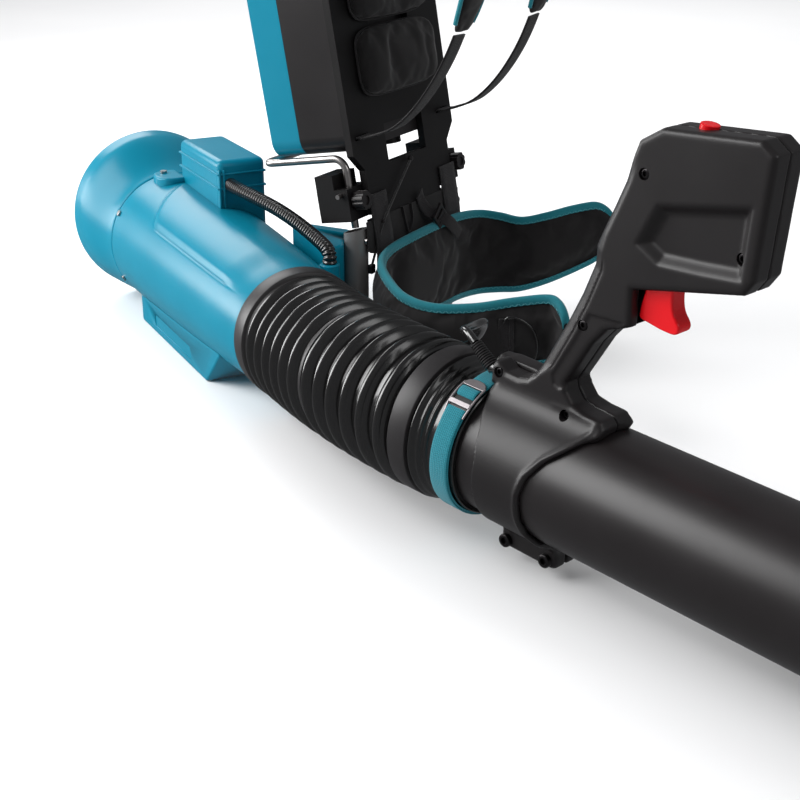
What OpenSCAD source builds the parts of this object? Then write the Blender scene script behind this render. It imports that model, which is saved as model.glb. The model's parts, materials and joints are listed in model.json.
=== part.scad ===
// Backpack leaf blower with an in-line fan, a ribbed hose and a pistol handle.
// Millimetres. The wearer faces -Y, the wearer's left is +X, the floor is Z = 0.
// The origin lies on the floor, midway between the two legs of the frame.

/* [Fan barrel] */
// Distance from the frame's middle to the outlet of the barrel
outlet_offset = 213; // [200:1:240]
// Height of the barrel's axis over the floor
barrel_h = 88; // [87:1:100]
// Angle between the barrel and straight ahead
barrel_yaw = 33; // [28:1:36]
// Outer radius at the outlet
barrel_front_r = 64; // [60:0.5:70]
// Outer radius at the rear seam
barrel_rear_r = 80; // [76:0.5:84]
// Length from the outlet to the rear seam
barrel_len = 385; // [370:5:420]
// Radius of the duct round the fan
duct_r = 72; // [70:0.5:74]
// Wall of the moulded housings
wall = 3; // [2.5:0.1:4]
// Radius of the intake bell
bell_r = 101; // [92:1:104]
// Length of the intake bell
bell_len = 90; // [70:5:120]

/* [Fan and motor] */
// Number of fan blades
blades = 9; // [5:1:13]
// Gap between the blade tips and the duct
tip_gap = 1.2; // [0.6:0.1:2]
// Radius of the fan hub and the motor pod
hub_r = 34; // [30:1:40]
// Radius of the motor shaft
shaft_r = 5; // [4:0.5:6]
// Number of guide vanes behind the fan
vanes = 7; // [5:1:11]

/* [Foot and control box] */
// Width of the foot
foot_w = 114; // [100:2:124]
// Length of the foot
foot_len = 232; // [200:4:250]
// Width of the control box on top of the barrel
box_w = 56; // [50:1:62]
// Height of the control box's lid over the barrel's axis
box_top = 128; // [122:1:136]
// Length of the control box
box_len = 132; // [120:2:150]
// Outer radius of the corrugated conduit
conduit_r = 7.5; // [6:0.5:8]

/* [Hose] */
// Outer radius of the hose collar
collar_r = 68.3; // [66:0.1:72]
// Length of the hose collar
collar_len = 26; // [20:1:32]
// Number of ribs on the hose
ribs = 12; // [10:2:16]
// Depth of one rib
rib_depth = 6.5; // [4:0.5:8]
// Radius of the hose's bore
hose_bore_r = 56.5; // [54:0.5:58]

/* [Blower tube] */
// Outer radius of the blower tube
tube_r = 55; // [50:0.5:56]
// Wall of the blower tube
tube_wall = 2.5; // [2:0.1:4]
// Length of the blower tube ahead of the hose strap
tube_len = 470; // [440:5:560]
// Angle between the tube and straight ahead
tube_yaw = 16; // [12:1:20]
// Outer radius of the nozzle's mouth
mouth_r = 42; // [36:0.5:46]
// Length of the nozzle
nozzle_len = 476; // [440:2:520]
// Width of the webbing strap round the hose cuff
strap_w = 24; // [20:1:25]

/* [Handle] */
// Thickness of the handle across its two shells
handle_w = 36; // [32:1:40]
// Wall of the clamp sleeve on the tube
sleeve_wall = 3.3; // [2.5:0.1:4.5]
// Width of the trigger
trigger_w = 16; // [12:0.5:20]
// Travel of the power button
button_travel = 2; // [1:0.5:3]

/* [Frame] */
// Radius of the lower frame tube
leg_r = 13; // [11:0.5:14]
// Distance between the two legs
leg_span = 198; // [190:2:206]
// Height of the legs
leg_h = 170; // [160:1:180]
// Bend radius of the lower frame tube
leg_bend = 44; // [36:1:60]
// Radius of the bent cradle rod
rod_r = 4; // [3:0.5:5]
// Angle by which the backboard leans back
lean = 10; // [4:1:14]

/* [Backboard and power pack] */
// Width of the backboard
board_w = 212; // [200:2:230]
// Height of the backboard
board_h = 430; // [400:5:460]
// Thickness of the backboard
board_t = 8; // [6:1:10]
// Width of the power pack
pack_w = 200; // [180:2:210]
// Depth of the power pack
pack_d = 96; // [80:2:110]
// Height of the board that stands above the power pack
pack_drop = 29.7; // [29:0.1:60]

/* [Harness] */
// Thickness of the waist belt's padding
belt_t = 13; // [10:0.5:16]
// Thickness of the shoulder pads
shoulder_t = 13; // [10:0.5:16]
// Width of the shoulder pads
shoulder_w = 62; // [50:1:68]

/* [Hidden] */

$fn = 64;
// Gap between pieces that seat on each other
seat = 0.2;
// Running gap round pieces that turn or slide
run = 0.3;

teal = "#0a83a0";
black = "#2b292b";
rubber = "#141315";
webbing = "#1e7382";
steel = "#b9b6b2";
red = "#de1c26";
gunmetal = "#4a4848";

// ---------- frames ----------
// The tube slopes down until the mouth of the nozzle touches the floor
cuff_len = 45;
nozzle_lap = 35;
mouth_z = tube_len - nozzle_lap + nozzle_len;
tube_h = 95.3;
tube_droop = asin(tube_h / norm([cuff_len + mouth_z, mouth_r])) - atan2(mouth_r, cuff_len + mouth_z);
barrel_origin = [-outlet_offset, 0, barrel_h];
barrel_fwd = [-sin(barrel_yaw), -cos(barrel_yaw), 0];
tube_fwd = [-sin(tube_yaw) * cos(tube_droop), -cos(tube_yaw) * cos(tube_droop), -sin(tube_droop)];
// The hose bends from the barrel's heading to the tube's over its own length
hose_len = 251;
chord_yaw = (barrel_yaw + tube_yaw) / 2 + 4.4;
hose_start = barrel_origin + collar_len * barrel_fwd;
hose_end = [hose_start.x - hose_len * sin(chord_yaw), hose_start.y - hose_len * cos(chord_yaw), tube_h];
tube_origin = hose_end + cuff_len * tube_fwd;

// In the barrel's frame x points inboard, y up and z along the air stream
module in_barrel() {
    translate(barrel_origin) rotate([0, 0, -barrel_yaw]) rotate([90, 0, 0]) children();
}

// In the tube's frame x points inboard, y up and z towards the nozzle
module in_tube() {
    translate(tube_origin) rotate([0, 0, -tube_yaw]) rotate([tube_droop, 0, 0])
        rotate([90, 0, 0]) children();
}

// The upper frame leans back about the tops of the legs
module in_lean() { translate([0, 0, lean_z]) rotate([-lean, 0, 0]) children(); }
lean_z = leg_h - 4;

// The same frames for points
function from_barrel(p) = barrel_origin + p.x * [cos(barrel_yaw), -sin(barrel_yaw), 0]
    + [0, 0, p.y] + p.z * barrel_fwd;
function from_tube(p) = tube_origin + p.x * [cos(tube_yaw), -sin(tube_yaw), 0]
    + p.y * [-sin(tube_yaw) * sin(tube_droop), -cos(tube_yaw) * sin(tube_droop), cos(tube_droop)]
    + p.z * tube_fwd;
function from_lean(p) = [p.x, p.y * cos(lean) + p.z * sin(lean), lean_z - p.y * sin(lean) + p.z * cos(lean)];

// A slab between x0 and x1 with an outline of [z, y] points
module side_slab(outline, x0, x1) {
    translate([x1, 0, 0]) rotate([0, -90, 0]) linear_extrude(x1 - x0) polygon(outline);
}

// A solid of revolution about z from [r, z] points
module turned(outline) { rotate_extrude() polygon(outline); }

module ring(r_out, r_in, z0, z1) {
    translate([0, 0, z0]) difference() {
        cylinder(r = r_out, h = z1 - z0);
        translate([0, 0, -1]) cylinder(r = r_in, h = z1 - z0 + 2);
    }
}

// A rod of radius r from point a to point b
module bar(a, b, r) {
    d = b - a;
    translate(a) rotate([0, acos(d.z / norm(d)), atan2(d.y, d.x)]) cylinder(r = r, h = norm(d));
}

// ---------- swept soft forms ----------
// Triangles over m rings of n points; wrap joins the last ring to the first
function grid_faces(n, m, wrap) = [
    for (i = [0:(wrap ? m - 1 : m - 2)], j = [0:n - 1])
        let (k = (i + 1) % m, l = (j + 1) % n)
        each [[i * n + j, k * n + l, i * n + l], [i * n + j, k * n + j, k * n + l]]];
function cap_faces(n, m) = [
    for (j = [1:n - 2]) each [[0, j, j + 1], [(m - 1) * n, (m - 1) * n + j + 1, (m - 1) * n + j]]];

module swept(rings) {
    n = len(rings[0]);
    m = len(rings);
    polyhedron([for (r = rings) each r], concat(grid_faces(n, m, false), cap_faces(n, m)), convexity = 6);
}

module swept_loop(rings) {
    n = len(rings[0]);
    polyhedron([for (r = rings) each r], grid_faces(n, len(rings), true), convexity = 8);
}

function unit(v) = v / norm(v);
function lerp(a, b, t) = a + (b - a) * t;
// A point at t on the open curve through the points p
function curve_at(p, t) =
    let (last = len(p) - 1, u = min(max(t, 0), 1) * last, i = min(floor(u), last - 1), f = u - i,
        a = p[max(i - 1, 0)], b = p[i], c = p[i + 1], d = p[min(i + 2, last)])
    0.5 * ((2 * b) + (c - a) * f + (2 * a - 5 * b + 4 * c - d) * f * f
        + (3 * b - a - 3 * c + d) * f * f * f);
function curve_dir(p, t) = unit(curve_at(p, t + 0.004) - curve_at(p, t - 0.004));
// A circle of n points with radius r round the curve at t
function round_ring(p, t, r, n) =
    let (d = curve_dir(p, t), s = unit(cross(d, abs(d.z) > 0.95 ? [1, 0, 0] : [0, 0, 1])), u = cross(s, d))
    [for (j = [0:n - 1]) curve_at(p, t) + r * (cos(360 * j / n) * s + sin(360 * j / n) * u)];

// The lens section of a padded band: half width w, half thickness h
lens = [[-1, 0], [-0.86, 0.72], [-0.5, 0.96], [0, 1], [0.5, 0.96], [0.86, 0.72],
    [1, 0], [0.86, -0.72], [0.5, -0.96], [0, -1], [-0.5, -0.96], [-0.86, -0.72]];

// ---------- fan barrel ----------
function barrel_r(z) = barrel_front_r + (barrel_rear_r - barrel_front_r) * pow(max(z, 0) / barrel_len, 0.62);
barrel_stations = [0, 12, 40, 90, 160, 260, barrel_len];
spigot_r = collar_r - 8.3;
fan_z = -308;
motor_front = -204;
motor_rear = -283;

// The space that the barrel fills, grown by gap
module barrel_core(gap) {
    turned(concat([[0, gap], [barrel_front_r + gap, gap]],
        [for (z = barrel_stations) [barrel_r(z) + gap, -z - (z == barrel_len ? gap : 0)]],
        [[0, -barrel_len - gap]]));
}

module fan_barrel() {
    color(teal) in_barrel() difference() {
        union() {
            barrel_core(0);
            cylinder(r = spigot_r, h = collar_len - 2);
        }
        turned([[0, collar_len], [spigot_r - wall, collar_len], [spigot_r - wall, -8],
            [duct_r, -200], [duct_r, -barrel_len - 1], [0, -barrel_len - 1]]);
    }
}

// The bell sits higher than the barrel so that its rim clears the floor
bell_gap = 2;
bell_rise = bell_r + bell_gap - barrel_h;
module bell_form(inset, extra) {
    hull() {
        translate([0, 0, -barrel_len - seat - 2])
            cylinder(r = barrel_rear_r - inset, h = 2 + extra, $fn = 32);
        translate([0, bell_rise * 0.8, -barrel_len - 0.4 * bell_len])
            cylinder(r = bell_r - 4 - inset, h = 2, $fn = 32);
        translate([0, bell_rise, -barrel_len - bell_len - extra])
            cylinder(r = bell_r - inset, h = 2, $fn = 32);
    }
}
module intake_bell() {
    color(teal) in_barrel() difference() {
        bell_form(0, 0);
        bell_form(wall, 1);
    }
}

grille_r = bell_r - wall - 0.9;
module intake_grille() {
    bars = 12;
    color(black) in_barrel() translate([0, bell_rise, -barrel_len - bell_len + 1]) linear_extrude(3) {
        for (k = [1:6]) difference() {
            circle(r = grille_r * k / 6);
            circle(r = grille_r * k / 6 - 2.6);
        }
        for (k = [0:bars - 1]) rotate(k * 360 / bars) translate([0, -1.2]) square([grille_r - 1, 2.4]);
        circle(r = 12);
    }
}

foot_rear = 352;
foot_front = foot_rear - foot_len;
foot_wall = 4;
module foot_block() {
    color(teal) in_barrel() difference() {
        side_slab([[-foot_rear, -20], [-foot_rear, -barrel_h], [-foot_front, -barrel_h],
            [-foot_front + 42, -44], [-foot_front + 42, -20]], -foot_w / 2, foot_w / 2);
        side_slab([[-foot_rear + foot_wall, -20], [-foot_rear + foot_wall, foot_wall - barrel_h],
            [-foot_front - foot_wall, foot_wall - barrel_h], [-foot_front + 36, -44],
            [-foot_front + 36, -20]], foot_wall - foot_w / 2, foot_w / 2 - foot_wall);
        barrel_core(seat);
    }
}

module motor_controller() {
    floor_y = foot_wall - barrel_h + seat;
    color("#2f5d3a") in_barrel() {
        translate([-foot_w / 2 + 8, floor_y, -foot_rear + 16]) cube([foot_w - 16, 2, foot_len - 60]);
        for (z = [0:3], side = [-1, 1])
            translate([side * (foot_w / 2 - 14), floor_y + 1, -foot_rear + 40 + 34 * z])
                rotate([-90, 0, 0]) cylinder(r = 5, h = 8);
        // Terminal board across the control box
        translate([box_x + wall + seat, 88, 40 - box_rear])
            cube([box_w - 2 * (wall + seat), 2, box_len - 60]);
        translate([box_x + box_w / 2 - 14, 89, 60 - box_rear]) cube([28, 14, 30]);
    }
}

vane_front = -212;
vane_rear = -287;
module stator_vanes() {
    color(black) in_barrel() {
        ring(duct_r - seat, duct_r - 2.6, vane_rear, vane_front);
        ring(hub_r, hub_r - 2.5, vane_rear, -200);
        for (k = [0:vanes - 1]) rotate(k * 360 / vanes) translate([hub_r - 1, -1.25, vane_rear + 6])
            rotate([-6, 0, 0]) cube([duct_r - hub_r - 1, 2.5, vane_front - vane_rear - 14]);
        turned([[hub_r, -200], [hub_r * 0.72, -166], [hub_r * 0.28, -142], [0, -136], [0, -139],
            [hub_r * 0.22, -145], [hub_r * 0.64, -168], [hub_r - 2.5, -200]]);
    }
}

can_r = hub_r - 2.5 - seat;
bearing_r = 11;
bearing_w = 7;
module motor_can() {
    color(gunmetal) in_barrel() difference() {
        translate([0, 0, motor_rear]) cylinder(r = can_r, h = motor_front - motor_rear);
        translate([0, 0, motor_rear + bearing_w])
            cylinder(r = can_r - 3, h = motor_front - motor_rear - 2 * bearing_w);
        translate([0, 0, motor_rear - 1]) cylinder(r = bearing_r, h = motor_front - motor_rear + 2);
    }
}

module motor_windings() {
    color("#a5602a") in_barrel() ring(can_r - 3, 17, motor_rear + 14, motor_front - 14);
}

module shaft_bearings() {
    color(steel) in_barrel() for (z = [motor_rear, motor_front - bearing_w])
        ring(bearing_r, shaft_r + 0.05, z, z + bearing_w);
}

module motor_shaft() {
    color(steel) in_barrel() translate([0, 0, fan_z - 34])
        cylinder(r = shaft_r, h = motor_front - fan_z + 32);
}

module rotor_core() {
    color(gunmetal) in_barrel() ring(16.2, shaft_r + 0.05, motor_rear + 12, motor_front - 12);
}

blade_chord = 40;
blade_pitch = 50;
module impeller() {
    tip_r = duct_r - tip_gap;
    color(black) in_barrel() {
        turned([[shaft_r, fan_z - 34], [hub_r * 0.4, fan_z - 33], [hub_r * 0.8, fan_z - 25],
            [hub_r, fan_z - 14], [hub_r, fan_z + 15], [shaft_r, fan_z + 15]]);
        intersection() {
            union() for (k = [0:blades - 1]) rotate(k * 360 / blades)
                translate([hub_r - 8, 0, fan_z]) rotate([blade_pitch, 0, 0])
                    translate([0, -1.4, -blade_chord / 2]) cube([tip_r - hub_r + 10, 2.8, blade_chord]);
            translate([0, 0, fan_z - 30]) cylinder(r = tip_r, h = 60);
        }
    }
}

// ---------- control box and conduit ----------
box_x = 1;
box_rear = 350;
conduit_at = [15, 101];
module control_box() {
    color(teal) in_barrel() difference() {
        union() {
            translate([box_x, 40, -box_rear]) cube([box_w, box_top - 40, box_len]);
            // Lug that the rear of the box is screwed down by
            translate([-27, 60, -box_rear - 32]) cube([30, 25, 44]);
            translate([conduit_at.x, conduit_at.y, box_len - box_rear - 1])
                cylinder(r = conduit_r + 3.5, h = 7);
        }
        translate([box_x + wall, 40, wall - box_rear])
            cube([box_w - 2 * wall, box_top - 40 - wall, box_len - 2 * wall]);
        translate([conduit_at.x, conduit_at.y, box_len - box_rear - 10])
            cylinder(r = conduit_r + seat, h = 20);
        barrel_core(seat);
    }
}

// The conduit leaves the box along the barrel and drops square into its boss
boss_at = [51, -31];
boss_top = 56;
conduit_start = box_len - box_rear - 2;
conduit_route = [[conduit_at.x, conduit_at.y, conduit_start], [conduit_at.x, conduit_at.y, conduit_start + 14],
    [18, 100, -184], [25, 97, -157], [34, 92, -127], [42, 85, -94], [48, 77, -64],
    [boss_at.x, 70, boss_at.y - 7], [boss_at.x, 63, boss_at.y], [boss_at.x, boss_top + seat, boss_at.y]];
conduit_pitch = 4.4;
conduit_ribs = round(236 / conduit_pitch);
module conduit() {
    n = 8;
    color(rubber) in_barrel() swept_loop(concat(
        [for (k = [0:2 * conduit_ribs])
            round_ring(conduit_route, k / (2 * conduit_ribs), conduit_r - (k % 2 == 0 ? 1.3 : 0), n)],
        [for (k = [24:-1:0]) round_ring(conduit_route, k / 24, conduit_r - 3, n)]));
}

module conduit_boss() {
    color(teal) in_barrel() difference() {
        translate([boss_at.x, 12, boss_at.y]) rotate([-90, 0, 0]) cylinder(r = 10.5, h = boss_top - 12);
        translate([boss_at.x, boss_top - 8, boss_at.y]) rotate([-90, 0, 0])
            cylinder(r = conduit_r - 3, h = 9);
        barrel_core(seat);
    }
}

module housing_screws() {
    color(steel) in_barrel() {
        // One in the rear lug of the control box, three round the rear seam
        translate([-14, 85 + seat, -box_rear - 20]) rotate([-90, 0, 0]) cylinder(r = 4, h = 2.4);
        for (a = [150, 210, 330]) rotate(a) translate([barrel_rear_r, 0, -barrel_len + 8])
            rotate([0, 90, 0]) cylinder(r = 3.5, h = 2);
    }
}

// ---------- lower frame ----------
leg_x = leg_span / 2;
leg_in_barrel = [(outlet_offset - leg_x) * cos(barrel_yaw), -(outlet_offset - leg_x) * sin(barrel_yaw)];
arm_top = 68;
module bracket_arm() {
    // The arm reaches round the rear half of the leg only
    leg = leg_in_barrel;
    plan = [[59, -150], [78, -140], [leg.x + 9, -104], [leg.x + leg_r + 3, -84],
        [leg.x + leg_r + 3, leg.y - 2], [leg.x - leg_r - 1, leg.y - 2], [76, -50], [66, -44], [59, -44]];
    color(teal) in_barrel() difference() {
        translate([0, 8, 0]) rotate([-90, 0, 0]) linear_extrude(arm_top - 8)
            polygon([for (p = plan) [p.x, -p.y]]);
        barrel_core(seat);
        translate([leg_in_barrel.x, 0, leg_in_barrel.y]) rotate([-90, 0, 0])
            cylinder(r = leg_r + seat, h = arm_top + 10);
        translate([cable_gland.x, cable_gland.y, -54]) cylinder(r = cable_r + 0.3, h = 20);
    }
}

leg_wall = 2;
foot_pad_t = 3;
foot_pad_half = 55;
bar_z = leg_r + foot_pad_t;
module bend(r_bend, r_out, r_in) {
    rotate_extrude(angle = 90) translate([r_bend, 0]) difference() {
        circle(r = r_out);
        circle(r = r_in);
    }
}
module lower_frame_tube() {
    color(gunmetal) difference() {
        union() {
            for (side = [-1, 1]) {
                translate([side * leg_x, 0, 0]) ring(leg_r, leg_r - leg_wall, bar_z + leg_bend, leg_h);
                translate([side * (leg_x - leg_bend), 0, bar_z + leg_bend]) rotate([90, 0, 0])
                    rotate(side < 0 ? 180 : 270) bend(leg_bend, leg_r, leg_r - leg_wall);
            }
            translate([0, 0, bar_z]) rotate([0, 90, 0])
                ring(leg_r, leg_r - leg_wall, leg_bend - leg_x, leg_x - leg_bend);
        }
        // The tops are cut at a slant, higher at the front
        for (side = [-1, 1]) {
            translate([side * leg_x, 0, leg_h - 4]) rotate([-16, 0, 0])
                translate([-20, -30, 0]) cube([40, 60, 20]);
            translate([side * leg_x, 0, leg_screw_z]) rotate([90, 0, 0]) cylinder(r = 2.2, h = 20);
        }
    }
}

// A rubber shoe round the cross bar, flat underneath
module frame_foot() {
    shoe_r = leg_r + foot_pad_t - 0.5;
    color(black) difference() {
        union() {
            translate([-foot_pad_half, 0, bar_z]) rotate([0, 90, 0])
                cylinder(r = shoe_r, h = 2 * foot_pad_half);
            translate([-foot_pad_half, -shoe_r - 2, 0])
                cube([2 * foot_pad_half, 2 * shoe_r + 4, bar_z - 4]);
        }
        translate([-foot_pad_half - 1, 0, bar_z]) rotate([0, 90, 0])
            cylinder(r = leg_r + 0.1, h = 2 * foot_pad_half + 2);
    }
}

leg_screw_z = leg_h - 14;
plug_top = leg_h - 9;
module tube_plugs() {
    color(black) for (side = [-1, 1]) difference() {
        translate([side * leg_x, 0, plug_top - 24]) cylinder(r = leg_r - leg_wall - 0.1, h = 24);
        translate([side * leg_x, 0, plug_top - 25]) cylinder(r = rod_r + 0.1, h = 26);
        translate([side * leg_x, 0, leg_screw_z]) rotate([90, 0, 0]) cylinder(r = 2.2, h = 20);
    }
}

module frame_screws() {
    color(steel) for (side = [-1, 1]) translate([side * leg_x, 0, leg_screw_z]) rotate([90, 0, 0]) {
        translate([0, 0, rod_r + 0.6]) cylinder(r = 2, h = leg_r - rod_r);
        translate([0, 0, leg_r + 0.1]) cylinder(r = 4.2, h = 2.4);
    }
}

// The bent rod: out of each leg, up through the side brackets, back and across
rod_rise = 76;
rod_back = 104;
rod_bend = 14;
kink_bend = 30;
kink = kink_bend * tan(lean / 2);
module rod_bend_at(r_bend) {
    rotate_extrude(angle = 90, $fn = 128) translate([r_bend, 0]) circle(r = rod_r);
}
module cradle_rod() {
    color(steel) {
        for (side = [-1, 1]) {
            translate([side * leg_x, 0, plug_top - 34])
                cylinder(r = rod_r, h = lean_z - kink - plug_top + 34);
            translate([side * leg_x, kink_bend, lean_z - kink]) rotate([0, 0, -90]) rotate([90, 0, 0])
                rotate_extrude(angle = lean) translate([kink_bend, 0]) circle(r = rod_r);
        }
        in_lean() {
            for (side = [-1, 1]) {
                translate([side * leg_x, 0, kink]) cylinder(r = rod_r, h = rod_rise - rod_bend - kink);
                translate([side * leg_x, rod_bend, rod_rise - rod_bend]) rotate([0, 90, 0])
                    rotate(180) rod_bend_at(rod_bend);
                translate([side * leg_x, rod_bend, rod_rise]) rotate([-90, 0, 0])
                    cylinder(r = rod_r, h = rod_back - 2 * rod_bend);
                translate([side * (leg_x - rod_bend), rod_back - rod_bend, rod_rise])
                    rotate(side < 0 ? 90 : 0) rod_bend_at(rod_bend);
            }
            translate([rod_bend - leg_x, rod_back, rod_rise]) rotate([0, 90, 0])
                cylinder(r = rod_r, h = leg_span - 2 * rod_bend);
        }
    }
}

bracket_out = leg_x + 17;
bracket_in = leg_x - 27;
bracket_z0 = 12;
knob_z = 32;
knob_x = leg_x + 4;
pin_z = 40;
board_y = -8.2;
module side_bracket(side) {
    color(black) in_lean() difference() {
        union() {
            translate([side > 0 ? bracket_in : -bracket_out, board_y + seat, bracket_z0])
                cube([bracket_out - bracket_in, 38, 34]);
            translate([side > 0 ? bracket_in : -bracket_out, 8, bracket_z0])
                cube([bracket_out - bracket_in, 21.8, 49]);
        }
        translate([side * leg_x, 0, bracket_z0 - 1]) cylinder(r = rod_r + 0.1, h = 60);
        translate([side * knob_x, -1, knob_z]) rotate([90, 0, 0]) cylinder(r = 3.06, h = 20);
        translate([side * (leg_x + rod_r + 1), 0, pin_z]) rotate([0, side * 90, 0]) cylinder(r = 2.5, h = 30);
    }
}
module side_bracket_right() { side_bracket(-1); }
module side_bracket_left() { side_bracket(1); }

// A knob turns on its thread and presses on the rod
module knob(side) {
    color(black) in_lean() translate([side * knob_x, 0, knob_z]) rotate([90, 0, 0]) {
        translate([0, 0, rod_r + run]) cylinder(r = 3, h = 8);
        translate([0, 0, -board_y + 1]) difference() {
            cylinder(r = 10, h = 13);
            for (k = [0:7]) rotate(k * 45) translate([11.4, 0, -1]) cylinder(r = 2.6, h = 15, $fn = 24);
            translate([0, 0, 11.5]) cylinder(r = 5, h = 3);
        }
    }
}
module knob_right() { knob(-1); }
module knob_left() { knob(1); }

module lock_pins() {
    color(steel) in_lean() for (side = [-1, 1]) translate([side * (leg_x + rod_r + 1.2), 0, pin_z])
        rotate([0, side * 90, 0]) cylinder(r = 2.45, h = bracket_out - leg_x - rod_r + 6);
}

// ---------- backboard, pads and power pack ----------
notch_w = 104;
notch_h = 16;
slot_x = 58;
slot_w = 34;
window_w = 80;
module backboard() {
    low_w = 2 * (bracket_in + 16);
    outline = [[-low_w / 2, 0], [low_w / 2, 0], [low_w / 2, 60], [board_w / 2, 78],
        [board_w / 2, board_h - 70], [74, board_h], [notch_w / 2, board_h],
        [notch_w / 2, board_h - notch_h], [-notch_w / 2, board_h - notch_h], [-notch_w / 2, board_h],
        [-74, board_h], [-board_w / 2, board_h - 70], [-board_w / 2, 78], [-low_w / 2, 60]];
    color(black) in_lean() difference() {
        translate([0, board_y, 0]) rotate([90, 0, 0]) linear_extrude(board_t) difference() {
            polygon(outline);
            for (side = [-1, 1]) {
                for (z = [8, 22]) translate([side > 0 ? slot_x : -slot_x - slot_w, z]) square([slot_w, 5]);
                translate([side > 0 ? 30 : -62, board_h - 44]) square([32, 6]);
                translate([side > 0 ? 72 : -98, 92]) square([26, 5]);
            }
            for (k = [0:4]) translate([-window_w / 2, board_h * (0.14 + 0.163 * k)])
                square([window_w, board_h * 0.093]);
        }
        for (side = [-1, 1]) translate([side * (notch_w / 2 - 1), board_y - board_t / 2, bail_z])
            rotate([0, side * 90, 0]) cylinder(r = 2.06, h = 10);
    }
}

// A cushion of width w and height h that stands t proud of its flat back, drawn in at mid-side
function pad_ring(w, h, pull, y, cx, cz) = [for (j = [0:27])
    let (a = 360 * j / 28, c = cos(a), s = sin(a),
        r = pow(pow(abs(c), 5) + pow(abs(s), 5), -1 / 5), d = 1 - pull * (1 - pow(abs(sin(2 * a)), 0.7)))
    [cx + w / 2 * r * c * d, y, cz + h / 2 * r * s * d]];
module cushion(w, h, t, y, cz) {
    swept([for (k = [[0.94, 0], [1, -0.22], [0.98, -0.5], [0.9, -0.78], [0.7, -0.94], [0.35, -1],
            [0.08, -1.01]])
        pad_ring(w * k[0], h * k[0], 0.035, y + t * k[1], 0, cz)]);
}

pad_pitch = board_h * 0.179;
pad_gap = 3;
pad_t = 20;
module back_pad() {
    color(black) in_lean() for (k = [0:2])
        cushion(board_w - 56, pad_pitch - pad_gap, pad_t, board_y - board_t - seat,
            board_h * 0.386 + k * pad_pitch);
}

bail_z = board_h - 8;
bail_y = board_y - board_t / 2;
bail_grip_r = 8;
bail_reach = 38;
module carry_handle() {
    pack_top = pack_z + pack_h;
    grip = [bail_y + bail_reach, pack_top + bail_grip_r + run];
    arm_x = notch_w / 2 - 7;
    color(black) in_lean() {
        for (side = [-1, 1]) {
            translate([side * (arm_x + 3), bail_y, bail_z]) rotate([0, side * 90, 0])
                cylinder(r = 2, h = 11);
            bar([side * (arm_x + 3), bail_y, bail_z], [side * (arm_x + 3), grip.x, grip.y], 3);
            translate([side * (arm_x + 3), bail_y, bail_z]) sphere(r = 3.2);
        }
        translate([-arm_x - 6, grip.x, grip.y]) rotate([0, 90, 0])
            cylinder(r = bail_grip_r, h = 2 * arm_x + 12);
    }
}

pack_y = board_y + run;
pack_z = rod_rise + rod_r + run;
pack_h = board_h - pack_z - pack_drop;
pack_split = pack_y + pack_d * 0.62;
pack_corner = 18;
module round_rect(w, h, r) {
    translate([-w / 2 + r, 0]) square([w - 2 * r, h]);
    translate([-w / 2, r]) square([w, h - 2 * r]);
    for (x = [-1, 1], y = [r, h - r]) translate([x * (w / 2 - r), y]) circle(r = r);
}
module pack_shell(y0, y1, cut0, cut1) {
    difference() {
        translate([0, y1, pack_z]) rotate([90, 0, 0]) linear_extrude(y1 - y0)
            round_rect(pack_w, pack_h, pack_corner);
        translate([0, cut1, pack_z + wall]) rotate([90, 0, 0]) linear_extrude(cut1 - cut0)
            round_rect(pack_w - 2 * wall, pack_h - 2 * wall, pack_corner - wall);
    }
}
pack_button_at = [20, pack_h - 60];
button_r = 9;
module pack_case() {
    color(black) in_lean() difference() {
        union() {
            pack_shell(pack_y, pack_split, pack_y + wall, pack_split + 1);
            // Outlet for the lead to the blower
            translate([40, 30, pack_z - 12]) ring(13, 7, 0, 14);
        }
        translate([-pack_w / 2 - 1, pack_button_at.x, pack_z + pack_button_at.y]) rotate([0, 90, 0])
            cylinder(r = button_r + run, h = wall + 2);
    }
}
module pack_cover() {
    color(teal) in_lean()
        pack_shell(pack_split + seat, pack_y + pack_d, pack_split - 1, pack_y + pack_d - wall);
}
module cell_block() {
    color("#3a3f45") in_lean() translate([-pack_w / 2 + 20, pack_y + wall + seat, pack_z + wall + seat])
        cube([pack_w - 40, pack_d - 2 * wall - 12, pack_h - 80]);
}
module pack_button() {
    color(red) in_lean() translate([-pack_w / 2, pack_button_at.x, pack_z + pack_button_at.y])
        rotate([0, 90, 0]) {
            translate([0, 0, -3]) cylinder(r = button_r, h = 8);
            translate([0, 0, wall + run]) cylinder(r = button_r + 2.5, h = 2);
        }
}

// ---------- harness ----------
// Plan of the waist belt from the right tip round the back to the left tip: x, y, top, bottom
belt_plan = [[-126, -256, 133, 70], [-113, -233, 136, 64], [-127, -201, 132, 58], [-150, -168, 127, 52],
    [-165, -130, 125, 46], [-160, -95, 128, 43], [-138, -62, 136, 42], [-112, -39, 143, 42],
    [-78, -29, 147, 44], [-30, -28, 149, 46], [30, -28, 149, 46], [78, -29, 147, 45],
    [110, -38, 144, 44], [122, -58, 141, 46], [127, -84, 138, 50], [142, -108, 143, 58],
    [164, -130, 149, 68], [186, -152, 152, 80], [199, -168, 148, 88]];
function belt_normal(t) = let (a = curve_at(belt_plan, t - 0.004), b = curve_at(belt_plan, t + 0.004),
    d = unit([b.x - a.x, b.y - a.y])) [d.y, -d.x];
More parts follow.
